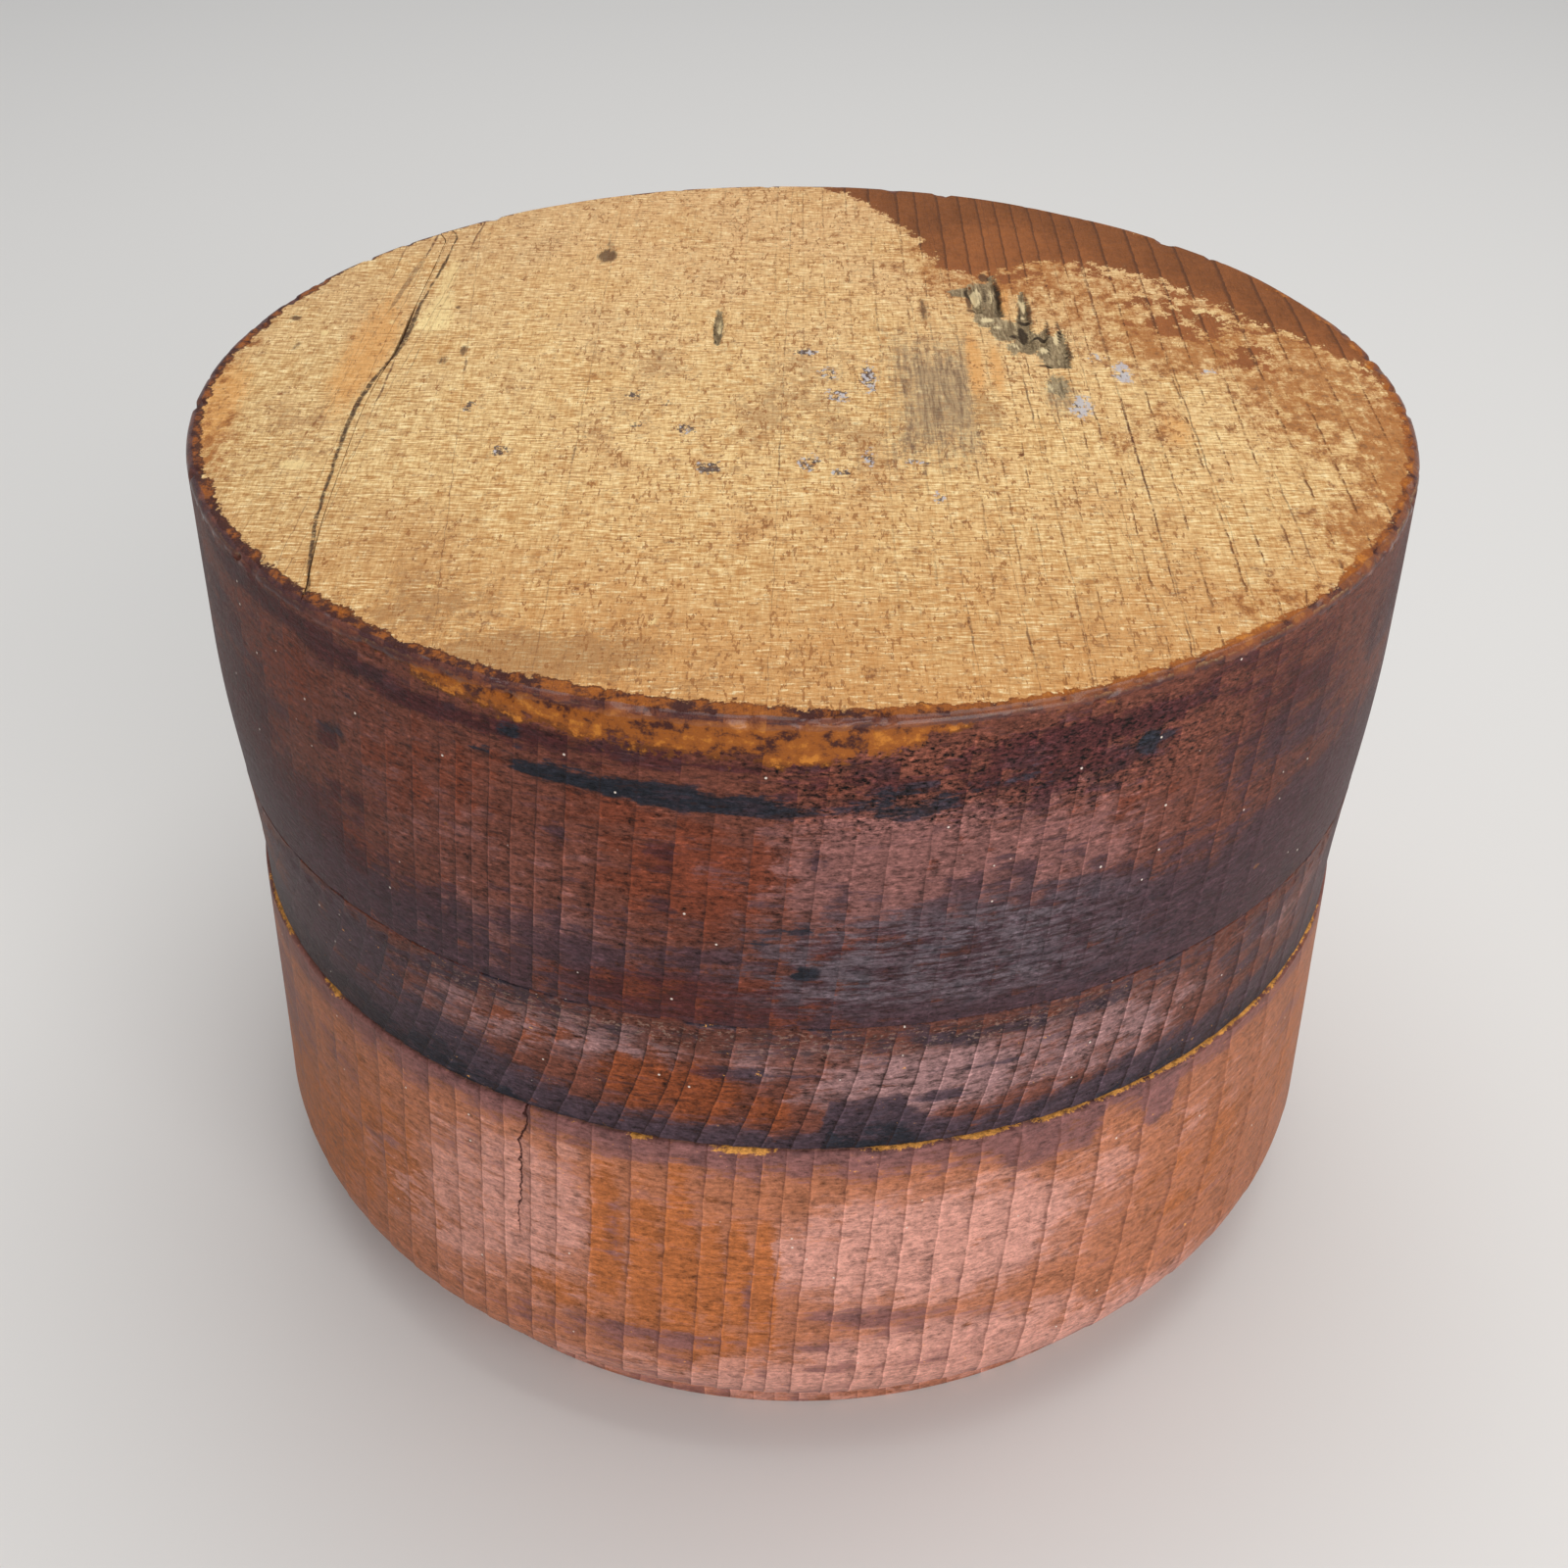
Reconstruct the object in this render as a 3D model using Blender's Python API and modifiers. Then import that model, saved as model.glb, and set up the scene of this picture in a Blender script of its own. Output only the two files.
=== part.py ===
"""Round lidded wooden box, turned from glued blocks of softwood.

The lid is the darker upper half. Its upper block is glued up from a narrow and
a wide board and hollowed from below, and a thinner ring is glued under it. The
base is a bowl with a rounded bottom edge on a thin foot disc. A thin collar is
glued into the base's rim, and the lid slides down over it. Metres, +Z up, with
the origin in the middle of the underside.
"""

import math

import bpy

# Lid, outside
TOP_RADIUS = 0.0900
LID_HEIGHT = 0.0713
LID_DRAW_IN = 0.0026
UPPER_BLOCK_HEIGHT = 0.0487
NARROW_BOARD_WIDTH = 0.0270
TOP_EDGE_ROUND = 0.0012
DRAW_IN_SHARE = 0.35

# Lid, inside
LID_WALL = 0.0120
LID_TOP_THICKNESS = 0.0150
LID_CAVITY_CORNER = 0.0080

# Base, outside
BASE_HEIGHT = 0.0630
BASE_RIM_PROUD = 0.0004
BASE_SWELL = 0.0007
BOTTOM_CURVE_WIDTH = 0.0286
BOTTOM_CURVE_HEIGHT = 0.0199
FOOT_INSET = 0.0100
FOOT_THICKNESS = 0.0035
FOOT_EDGE_ROUND = 0.0010

# Base, inside
BASE_FLOOR = 0.0100
BASE_CAVITY_CORNER = 0.0140

# Collar
COLLAR_THICKNESS = 0.0045
COLLAR_RISE = 0.0090
COLLAR_DEPTH = 0.0110
COLLAR_EDGE = 0.0010

# Small edges and fits
SEAM_EDGE_ROUND = 0.0005
LAYER_CHAMFER = 0.0006
LID_CLEARANCE = 0.0004
SEAM_GAP = 0.0003
GLUE_GAP = 0.0003
CUTTER_OVERRUN = 0.0100

# Turning
TURN_STEPS = 72
ROUND_STEPS = 4
CURVE_STEPS = 8
MERGE_DISTANCE = 0.00001

# Radii that the fits tie together
LID_RIM_RADIUS = TOP_RADIUS - LID_DRAW_IN
BASE_RIM_RADIUS = LID_RIM_RADIUS + BASE_RIM_PROUD
BASE_WIDEST_RADIUS = BASE_RIM_RADIUS + BASE_SWELL
FOOT_RADIUS = BASE_WIDEST_RADIUS - FOOT_INSET
LID_CAVITY_RADIUS = LID_RIM_RADIUS - LID_WALL
COLLAR_OUTER_RADIUS = LID_CAVITY_RADIUS - LID_CLEARANCE
COLLAR_INNER_RADIUS = COLLAR_OUTER_RADIUS - COLLAR_THICKNESS

# Heights in the lid, above the seam
LAYER_JOINT = LID_HEIGHT - UPPER_BLOCK_HEIGHT
LID_CEILING = LID_HEIGHT - LID_TOP_THICKNESS

# Heights in the base, above the underside
BASE_RIM = BASE_HEIGHT - SEAM_GAP
BASE_UNDERSIDE = FOOT_THICKNESS + GLUE_GAP
BASE_CAVITY_FLOOR = BASE_UNDERSIDE + BASE_FLOOR
COLLAR_BOTTOM = BASE_RIM - COLLAR_DEPTH
COLLAR_TOP = BASE_RIM + COLLAR_RISE
REBATE_FLOOR = COLLAR_BOTTOM - GLUE_GAP

# The glue line between the two boards is a plane across the lid
BOARD_LINE_X = NARROW_BOARD_WIDTH - TOP_RADIUS

# Linear colour, roughness
DARK_VARNISH = ((0.130, 0.042, 0.026), 0.38)
BROWN_VARNISH = ((0.290, 0.105, 0.050), 0.42)
BARE_WOOD = ((0.480, 0.300, 0.140), 0.70)


def clear_scene():
    """Remove every object that the file opens with."""
    for obj in list(bpy.data.objects):
        bpy.data.objects.remove(obj, do_unlink=True)


def new_collection(name):
    """Add a collection to the scene and return it."""
    collection = bpy.data.collections.new(name)
    bpy.context.scene.collection.children.link(collection)
    return collection


def wood_material(name, finish):
    """A Principled material with a wood's colour and roughness."""
    color, roughness = finish
    material = bpy.data.materials.new(name)
    material.use_nodes = True
    shader = material.node_tree.nodes["Principled BSDF"]
    shader.inputs["Base Color"].default_value = (*color, 1.0)
    shader.inputs["Roughness"].default_value = roughness
    shader.inputs["Metallic"].default_value = 0.0
    material.diffuse_color = (*color, 1.0)
    return material


def arc(center, radii, start, end, steps):
    """Points of an elliptical arc from start to end, in degrees: 0 points outwards and 90 up."""
    points = []
    for step in range(steps + 1):
        angle = math.radians(start + (end - start) * step / steps)
        x = center[0] + radii[0] * math.cos(angle)
        z = center[1] + radii[1] * math.sin(angle)
        points.append((x, z))
    return points


def lid_side_radius(height):
    """Outer radius of the lid at a height above the seam.

    The side is straight below the top face, then draws in to the seam along half a cosine wave.
    """
    depth_share = (LID_HEIGHT - height) / LID_HEIGHT
    ease = max(0.0, (depth_share - DRAW_IN_SHARE) / (1.0 - DRAW_IN_SHARE))
    inset_share = 0.5 - 0.5 * math.cos(math.pi * ease)
    return TOP_RADIUS - LID_DRAW_IN * inset_share


def lid_side(high, low, steps):
    """Points down the lid's side between two heights above the seam."""
    heights = [high + (low - high) * step / steps for step in range(steps + 1)]
    return [(lid_side_radius(height), height) for height in heights]


def upper_block_profile():
    """Half section of the lid's upper block, from the middle of its top face round to its ceiling."""
    edge = arc(
        (TOP_RADIUS - TOP_EDGE_ROUND, LID_HEIGHT - TOP_EDGE_ROUND),
        (TOP_EDGE_ROUND, TOP_EDGE_ROUND), 90, 0, ROUND_STEPS,
    )
    straight_end = LID_HEIGHT * (1.0 - DRAW_IN_SHARE)
    bottom = LAYER_JOINT + GLUE_GAP
    side = lid_side(min(straight_end, LID_HEIGHT - TOP_EDGE_ROUND), bottom, CURVE_STEPS // 2)
    if straight_end > LID_HEIGHT - TOP_EDGE_ROUND:
        side = side[1:]
    corner = arc(
        (LID_CAVITY_RADIUS - LID_CAVITY_CORNER, LID_CEILING - LID_CAVITY_CORNER),
        (LID_CAVITY_CORNER, LID_CAVITY_CORNER), 0, 90, ROUND_STEPS,
    )
    return [(0.0, LID_HEIGHT)] + edge + side + [(LID_CAVITY_RADIUS, bottom)] + corner + [(0.0, LID_CEILING)]


def lower_ring_profile():
    """Closed section of the ring glued under the upper block, down to the seam."""
    top_radius = lid_side_radius(LAYER_JOINT)
    side = lid_side(LAYER_JOINT - LAYER_CHAMFER, SEAM_EDGE_ROUND, CURVE_STEPS // 2)
    seam_radius = lid_side_radius(SEAM_EDGE_ROUND)
    edge = arc(
        (seam_radius - SEAM_EDGE_ROUND, SEAM_EDGE_ROUND),
        (SEAM_EDGE_ROUND, SEAM_EDGE_ROUND), 0, -90, ROUND_STEPS,
    )
    return (
        [(LID_CAVITY_RADIUS, LAYER_JOINT), (top_radius - LAYER_CHAMFER, LAYER_JOINT)]
        + side[:-1] + edge
        + [(LID_CAVITY_RADIUS + SEAM_EDGE_ROUND, 0.0), (LID_CAVITY_RADIUS, SEAM_EDGE_ROUND)]
    )


def base_profile():
    """Half section of the base bowl, from the middle of its cavity floor over the rim to its underside.

    The side swells slightly to where the bottom edge starts to round, and the rounding is an
    elliptical arc that the flat underside cuts off.
    """
    inner_corner = arc(
        (COLLAR_INNER_RADIUS - BASE_CAVITY_CORNER, BASE_CAVITY_FLOOR + BASE_CAVITY_CORNER),
        (BASE_CAVITY_CORNER, BASE_CAVITY_CORNER), -90, 0, ROUND_STEPS,
    )
    rebate_radius = COLLAR_OUTER_RADIUS + GLUE_GAP
    rebate = [
        (COLLAR_INNER_RADIUS, REBATE_FLOOR),
        (rebate_radius, REBATE_FLOOR),
        (rebate_radius, BASE_RIM),
    ]
    rim_edge = arc(
        (BASE_RIM_RADIUS - SEAM_EDGE_ROUND, BASE_RIM - SEAM_EDGE_ROUND),
        (SEAM_EDGE_ROUND, SEAM_EDGE_ROUND), 90, 0, ROUND_STEPS,
    )
    underside_angle = -math.degrees(math.asin(1.0 - BASE_UNDERSIDE / BOTTOM_CURVE_HEIGHT))
    bottom_curve = arc(
        (BASE_WIDEST_RADIUS - BOTTOM_CURVE_WIDTH, BOTTOM_CURVE_HEIGHT),
        (BOTTOM_CURVE_WIDTH, BOTTOM_CURVE_HEIGHT), 0, underside_angle, CURVE_STEPS,
    )
    return (
        [(0.0, BASE_CAVITY_FLOOR)] + inner_corner + rebate + rim_edge
        + bottom_curve + [(0.0, BASE_UNDERSIDE)]
    )


def collar_profile():
    """Closed section of the collar, with both top edges eased so that the lid finds it."""
    return [
        (COLLAR_INNER_RADIUS, COLLAR_TOP - COLLAR_EDGE),
        (COLLAR_INNER_RADIUS + COLLAR_EDGE, COLLAR_TOP),
        (COLLAR_OUTER_RADIUS - COLLAR_EDGE, COLLAR_TOP),
        (COLLAR_OUTER_RADIUS, COLLAR_TOP - COLLAR_EDGE),
        (COLLAR_OUTER_RADIUS, COLLAR_BOTTOM),
        (COLLAR_INNER_RADIUS, COLLAR_BOTTOM),
    ]


def foot_profile():
    """Half section of the foot disc, with a rounded edge."""
    top_edge = arc(
        (FOOT_RADIUS - FOOT_EDGE_ROUND, FOOT_THICKNESS - FOOT_EDGE_ROUND),
        (FOOT_EDGE_ROUND, FOOT_EDGE_ROUND), 90, 0, ROUND_STEPS,
    )
    bottom_edge = arc(
        (FOOT_RADIUS - FOOT_EDGE_ROUND, FOOT_EDGE_ROUND),
        (FOOT_EDGE_ROUND, FOOT_EDGE_ROUND), 0, -90, ROUND_STEPS,
    )
    return [(0.0, FOOT_THICKNESS)] + top_edge + bottom_edge + [(0.0, 0.0)]


def profile_mesh(name, profile):
    """A mesh of edges along a section at +X, closed on itself where it stays off the axis."""
    count = len(profile)
    edges = [(index, index + 1) for index in range(count - 1)]
    if profile[0][0] > 0.0:
        edges.append((count - 1, 0))
    mesh = bpy.data.meshes.new(name)
    mesh.from_pydata([(x, 0.0, z) for x, z in profile], edges, [])
    return mesh


def turned(name, mesh, finish, collection, parent=None):
    """A turned piece: a section carried once round the axis by a Screw modifier."""
    obj = bpy.data.objects.new(name, mesh)
    collection.objects.link(obj)
    obj.parent = parent
    turn = obj.modifiers.new("Turn", "SCREW")
    turn.axis = "Z"
    turn.angle = math.tau
    turn.steps = TURN_STEPS
    turn.render_steps = TURN_STEPS
    turn.use_merge_vertices = True
    turn.merge_threshold = MERGE_DISTANCE
    turn.use_smooth_shade = True
    mesh.materials.append(wood_material(name, finish))
    return obj


def half_space_cutter(name, low_x, high_x, collection, parent):
    """A box that covers the lid between two x values, for cutting the block along its glue line."""
    depth = 2.0 * (TOP_RADIUS + CUTTER_OVERRUN)
    height = LID_HEIGHT + 2.0 * CUTTER_OVERRUN
    bpy.ops.mesh.primitive_cube_add(size=1.0)
    cutter = bpy.context.object
    cutter.name = name
    cutter.scale = (high_x - low_x, depth, height)
    bpy.ops.object.transform_apply(location=False, rotation=False, scale=True)
    for owner in list(cutter.users_collection):
        owner.objects.unlink(cutter)
    collection.objects.link(cutter)
    cutter.parent = parent
    cutter.location = ((low_x + high_x) / 2.0, 0.0, LID_HEIGHT / 2.0)
    cutter.hide_render = True
    cutter.display_type = "WIRE"
    return cutter


def cut(obj, cutter):
    """Cut one solid away from another."""
    boolean = obj.modifiers.new("Saw to the glue line", "BOOLEAN")
    boolean.operation = "DIFFERENCE"
    boolean.solver = "EXACT"
    boolean.object = cutter


def lid_axis(collection):
    """The empty that carries the lid, on the axis that it lifts along and at the seam."""
    axis = bpy.data.objects.new("lid_axis", None)
    axis.location = (0.0, 0.0, BASE_HEIGHT)
    collection.objects.link(axis)
    return axis


def make_lid(parts, cutters):
    """The lid's two boards, sawn from one turned block, and the ring glued under them."""
    axis = lid_axis(parts)
    main_low = BOARD_LINE_X + GLUE_GAP / 2.0
    narrow_high = BOARD_LINE_X - GLUE_GAP / 2.0
    reach = TOP_RADIUS + CUTTER_OVERRUN
    left_cutter = half_space_cutter("narrow_board_side", -reach, main_low, cutters, axis)
    right_cutter = half_space_cutter("main_board_side", narrow_high, reach, cutters, axis)
    profile = upper_block_profile()
    main_mesh = profile_mesh("lid_main_board", profile)
    main_board = turned("lid_main_board", main_mesh, DARK_VARNISH, parts, axis)
    cut(main_board, left_cutter)
    narrow_mesh = profile_mesh("lid_narrow_board", profile)
    narrow_board = turned("lid_narrow_board", narrow_mesh, DARK_VARNISH, parts, axis)
    cut(narrow_board, right_cutter)
    ring_mesh = profile_mesh("lid_lower_ring", lower_ring_profile())
    turned("lid_lower_ring", ring_mesh, DARK_VARNISH, parts, axis)


def make_base(parts):
    """The base bowl, the collar in its rim and the foot disc under it."""
    turned("base_bowl", profile_mesh("base_bowl", base_profile()), BROWN_VARNISH, parts)
    turned("base_collar", profile_mesh("base_collar", collar_profile()), BARE_WOOD, parts)
    turned("foot_disc", profile_mesh("foot_disc", foot_profile()), BROWN_VARNISH, parts)


def main():
    """Build the whole box."""
    clear_scene()
    parts = new_collection("round_lidded_box")
    cutters = new_collection("cutters")
    make_lid(parts, cutters)
    make_base(parts)


main()
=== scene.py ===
"""The looks of a round turned wooden box: a deep lid with a bare worn top, and a bowl-shaped base."""
import math
from collections import namedtuple

import bmesh
import bpy
import numpy as np
from bpy.props import FloatProperty, FloatVectorProperty, IntProperty, PointerProperty
from mathutils import Matrix, Vector
from mathutils.geometry import delaunay_2d_cdt


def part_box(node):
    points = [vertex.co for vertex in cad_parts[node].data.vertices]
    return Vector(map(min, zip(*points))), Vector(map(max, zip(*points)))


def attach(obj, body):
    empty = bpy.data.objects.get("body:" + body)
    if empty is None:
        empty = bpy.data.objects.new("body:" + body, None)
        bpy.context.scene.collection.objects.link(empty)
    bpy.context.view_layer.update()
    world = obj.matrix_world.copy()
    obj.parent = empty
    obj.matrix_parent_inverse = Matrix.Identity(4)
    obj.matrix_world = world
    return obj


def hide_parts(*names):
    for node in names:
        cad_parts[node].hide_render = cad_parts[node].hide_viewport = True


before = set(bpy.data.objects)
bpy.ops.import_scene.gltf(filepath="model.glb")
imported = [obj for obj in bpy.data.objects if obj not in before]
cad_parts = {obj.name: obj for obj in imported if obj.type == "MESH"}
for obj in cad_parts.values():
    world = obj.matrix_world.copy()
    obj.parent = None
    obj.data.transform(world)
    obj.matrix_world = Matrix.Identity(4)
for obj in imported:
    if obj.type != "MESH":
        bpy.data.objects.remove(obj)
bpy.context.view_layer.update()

bl_info = {
    "name": "Round Turned Box",
    "version": (1, 0, 0),
    "blender": (4, 5, 0),
    "location": "View3D > Sidebar > Turned Box",
    "description": "Makes the worn boards, varnish and stains of a round turned wooden box",
    "category": "Add Mesh",
}

# Units: shapes and features are worked out in millimetres, and meshes are written in metres
MM = 0.001


def low(node, axis):
    """The lowest value of a node along an axis, in millimetres."""
    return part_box(node)[0][axis] / MM


def high(node, axis):
    """The highest value of a node along an axis, in millimetres."""
    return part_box(node)[1][axis] / MM


# Sizes of the solids, from the frame
TOP_Z = high("lid_main_board", 2)
TOP_RADIUS = high("lid_main_board", 0)
LAYER_Z = (low("lid_main_board", 2) + high("lid_lower_ring", 2)) / 2
BAND_BOTTOM = low("lid_lower_ring", 2)
BASE_RIM = high("base_bowl", 2)
BASE_BOTTOM = low("base_bowl", 2)
BASE_WIDEST = high("base_bowl", 0)
COLLAR_RADIUS = high("base_collar", 0)
COLLAR_TOP = high("base_collar", 2)
COLLAR_BOTTOM = low("base_collar", 2)
FOOT_RADIUS = high("foot_disc", 0)
FOOT_TOP = high("foot_disc", 2)
JOINT_LEFT = high("lid_narrow_board", 0)
JOINT_RIGHT = low("lid_main_board", 0)
JOINT_X = (JOINT_LEFT + JOINT_RIGHT) / 2

# Sizes inside those solids, as they were designed
LID_DRAW_IN = 2.6
DRAW_IN_SHARE = 0.35
CAVITY_RADIUS = 75.4
CEILING = 119.3
CEILING_CORNER = 8.0
ARRIS = 1.2
LAYER_CHAMFER = 0.15
LAYER_GLUE = 0.1
BLOCK_BOTTOM = LAYER_Z + LAYER_GLUE / 2
BAND_TOP = LAYER_Z - LAYER_GLUE / 2
SEAM_ROUND = 0.5
BASE_RIM_RADIUS = 87.8
BASE_CURVE_WIDTH = 28.6
BASE_CURVE_HEIGHT = 19.9
BASE_CAVITY_FLOOR = 13.8
BASE_CAVITY_CORNER = 14.0
RECESS_RADIUS = 75.3
RECESS_FLOOR = COLLAR_BOTTOM - 0.3
COLLAR_INNER = 70.5
COLLAR_EDGE = 1.0
FOOT_EDGE = 1.0

# Columns round the surfaces that carry no fine relief
HIDDEN_COLUMNS = 360
COLLAR_COLUMNS = 540
FOOT_COLUMNS = 720
# How far a face that shows little reaches into a joint
JOINT_REACH = 3
# The angle in degrees from which an edge stays sharp
SHARP_ANGLE = 38
# Distance within which the points of a cut join, and the spacing of the grid inside it
WELD_DISTANCE = 0.01
CUT_SPACING = 2.5

# The photograph's camera, fitted to the box: place in millimetres, angles in degrees
CAMERA_PLACE = (-2.14, -296.31, 269.53)
CAMERA_PITCH = 34.95
CAMERA_ROLL = 0.647
CAMERA_LENS = 49.26
CAMERA_SENSOR = 36.0


def srgb(red, green, blue):
    """The linear colour of three display values from 0 to 255."""
    shares = (value / 255 for value in (red, green, blue))
    return tuple(s / 12.92 if s <= 0.04045 else ((s + 0.055) / 1.055) ** 2.4 for s in shares)


def colour_property(name, description, display):
    """A colour setting whose default is a display colour."""
    return FloatVectorProperty(name=name, description=description, default=srgb(*display),
                               subtype="COLOR", size=3, min=0.0, max=1.0)


def length_property(name, description, millimetres):
    """A length setting whose default is given in millimetres."""
    return FloatProperty(name=name, description=description, default=millimetres * MM,
                         min=0.0, subtype="DISTANCE", unit="LENGTH", precision=5)


class TurnedBoxShape(bpy.types.PropertyGroup):
    """Sizes of the worn surface."""

    ring_step: length_property("Ring step", "Height of the step at each growth ring", 0.2)
    waviness: length_property("Waviness", "Depth of the long hollows in the turned side", 0.22)
    arris_wear: length_property("Arris wear", "Depth of the knocks along the top edge", 0.7)
    tear_depth: length_property("Tear-out depth", "Depth of the torn pits in the top face", 1.3)
    columns: IntProperty(name="Columns", description="Points round the turned side",
                         default=1080, min=64, max=2048)


class TurnedBoxColours(bpy.types.PropertyGroup):
    """Colours of the wood, the varnish and the stains."""

    bare_light: colour_property("Bare wood light", "Raised fibres of the bare face", (255, 224, 162))
    bare_dark: colour_property("Bare wood dark", "Dirt between the fibres of the bare face", (198, 144, 84))
    spill: colour_property("Spilt varnish", "Thick varnish over the bare face", (134, 80, 42))
    stain: colour_property("Sunk varnish", "Thin varnish sunk into the bare face", (176, 112, 58))
    amber: colour_property("Amber varnish", "Thick varnish along the top edge", (158, 90, 36))
    # dark spots of the amber varnish, partly painted shadow between its blobs
    amber_dark: colour_property("Amber shade", "Burnt spots along the top edge", (72, 38, 32))
    amber_gold: colour_property("Amber gold", "Worn spots along the top edge", (208, 132, 52))
    lid_red: colour_property("Lid red brown", "Varnish of the lid", (112, 64, 50))
    # partly worn varnish and partly a painted pinkish sheen
    lid_pale_sheen: colour_property("Lid pale brown", "Worn varnish of the lid", (134, 90, 84))
    lid_purple: colour_property("Lid purple", "Dark bands of the lid", (72, 50, 56))
    lid_maroon: colour_property("Lid maroon", "Dark red bands of the lid", (74, 36, 36))
    lid_warm: colour_property("Lid brick red", "Warm patches of the lid", (120, 60, 40))
    ink: colour_property("Blue black", "Streaks of blue-black stain", (34, 36, 44))
    orange: colour_property("Orange varnish", "Warm patches of the lower band", (132, 68, 38))
    # partly worn varnish and partly a painted pinkish sheen
    band_pale_sheen: colour_property("Band pale brown", "Worn varnish of the lower band", (150, 114, 112))
    band_purple: colour_property("Band purple", "Dark parts of the lower band", (72, 56, 64))
    # partly worn varnish and partly a painted pinkish sheen
    base_pale_sheen: colour_property("Base pale brown", "Worn varnish of the base", (208, 150, 134))
    base_brown: colour_property("Base brown", "Varnish of the base", (180, 114, 82))
    base_warm: colour_property("Base orange", "Warm stripes of the base", (184, 108, 60))
    base_purple: colour_property("Base purple", "Dark patches of the base", (134, 90, 86))
    base_line: colour_property("Base ring line", "Ring lines of the base", (104, 60, 50))
    chip: colour_property("Chipped edge", "Bare wood where the seam is chipped", (214, 150, 72))
    turned: colour_property("Turned wood", "Bare turned wood inside", (212, 172, 122))


class TurnedBoxStage(bpy.types.PropertyGroup):
    """Light and floor."""

    floor: colour_property("Floor", "Colour of the plain floor", (228, 227, 224))
    key: FloatProperty(name="Overhead light", description="Power of the soft light overhead",
                       default=7.1, min=0.0, unit="POWER")
    front: FloatProperty(name="Front light", description="Power of the soft light at the front",
                         default=10.5, min=0.0, unit="POWER")
    world: FloatProperty(name="Room light", description="Strength of the light from all round",
                         default=0.36, min=0.0)


# Noise on arrays: the same value at the same place in every run

def lattice(ix, iy, iz, seed):
    """A value from 0 to 1 for each whole-number point, by mixing the bits of its coordinates."""
    mixed = (ix * 374761393 + iy * 668265263 + iz * 1442695041 + seed * 1274126177) & 0xFFFFFFFF
    mixed = ((mixed ^ (mixed >> 13)) * 1274126177) & 0xFFFFFFFF
    return ((mixed ^ (mixed >> 16)) & 0xFFFFFF) / 0xFFFFFF


def noise(points, size, seed, octaves=1):
    """Value noise from -1 to 1: the eight lattice values round a point, blended by a smooth step.
    size is one number for each axis; each octave is half the size and half the height."""
    total = np.zeros(len(points))
    height = 1.0
    reach = 0.0
    cells = points / np.asarray(size, float)
    for octave in range(octaves):
        base = np.floor(cells).astype(np.int64)
        share = cells - base
        share = share * share * (3 - 2 * share)
        value = 0.0
        for corner in range(8):
            offset = np.array([corner & 1, corner >> 1 & 1, corner >> 2 & 1])
            weight = np.where(offset, share, 1 - share).prod(axis=1)
            at = base + offset
            value = value + weight * lattice(at[:, 0], at[:, 1], at[:, 2], seed + octave)
        total += height * (2 * value - 1)
        reach += height
        height /= 2
        cells = cells * 2
    return total / reach


def edge(distance, width):
    """0 outside, 0.5 on an edge and 1 inside, where distance is measured inwards."""
    return np.clip(0.5 + distance / width, 0, 1)


def ease(value, start, stop):
    """A smooth step from 0 at start to 1 at stop."""
    share = np.clip((value - start) / (stop - start), 0, 1)
    return share * share * (3 - 2 * share)


def spot(x, y, centre_x, centre_y, half_x, half_y, strength=1.0):
    """An oval patch: full inside half its size, half on its outline and nothing past 1.5 times."""
    away = np.hypot((x - centre_x) / half_x, (y - centre_y) / half_y)
    return strength * np.clip(1.5 - away, 0, 1)


def spots(x, y, table):
    """The strongest of several oval patches."""
    return np.max([spot(x, y, *row) for row in table], axis=0)


def turned_spots(angle, z, table):
    """The strongest of several oval patches on the side, where angles meet at the back."""
    away = [((angle - row[0] + 180) % 360 - 180, row) for row in table]
    return np.max([spot(turn, z, 0, *row[1:]) for turn, row in away], axis=0)


def along(value, table, period=None):
    """A curve read off a table of pairs, with straight lines between them."""
    stops, heights = zip(*table)
    return np.interp(value, stops, heights, period=period)


# Growth rings: x of the line between one ring and the next, in millimetres from the axis. The rings
# are nearly plane and square to x.

BLOCK_RINGS = (
    -98, -94, -90, -86, -82, -78, -74, -70, -66, -62, -58, -54.5, -51, -47.3, -43.6, -41.5, -39.3, -37.1,
    -34.1, -31, -27.4, -23.2, -18.8, -13.7, -9.3, -4.3, 0.2, 3.7, 7.9, 12.1, 17.3, 20.5, 24.5, 28.3, 31.4,
    34.6, 37.5, 40.5, 44.6, 47.4, 51.5, 56.5, 60, 64, 70, 75, 79.5, 84, 88, 92, 96)
BAND_RINGS = (
    -98, -94, -90, -86, -82, -78, -74, -70, -66, -62, -58.5, -55, -51.7, -48.7, -44.9, -42.4, -37.6, -33,
    -28.9, -24.7, -21, -16.8, -14.8, -9.8, -4.9, -1.1, 2.9, 7.5, 11.5, 15.9, 19.6, 23.2, 26.3, 29.8, 32.3,
    36.4, 40.8, 44.1, 47.9, 51.6, 57, 62.1, 66, 69.2, 73, 77, 81, 85, 89, 93, 97)
BASE_RINGS = (
    -96, -92, -88, -83.3, -79, -74.6, -70.3, -66, -61.9, -57.7, -53.3, -49.1, -45.3, -41.9, -37.9, -34.1,
    -29.2, -23.5, -18.4, -13.3, -9.4, -5.8, -2.5, 1.2, 6.1, 10.3, 14.8, 19.9, 24.3, 29.8, 35.4, 41.7,
    48.4, 55.3, 62, 69, 76, 84, 92)


def ring_number(x, table):
    """The ring coordinate: it grows by one from each ring line to the next."""
    return np.interp(x, table, np.arange(len(table)))


# Turned profiles

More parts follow.
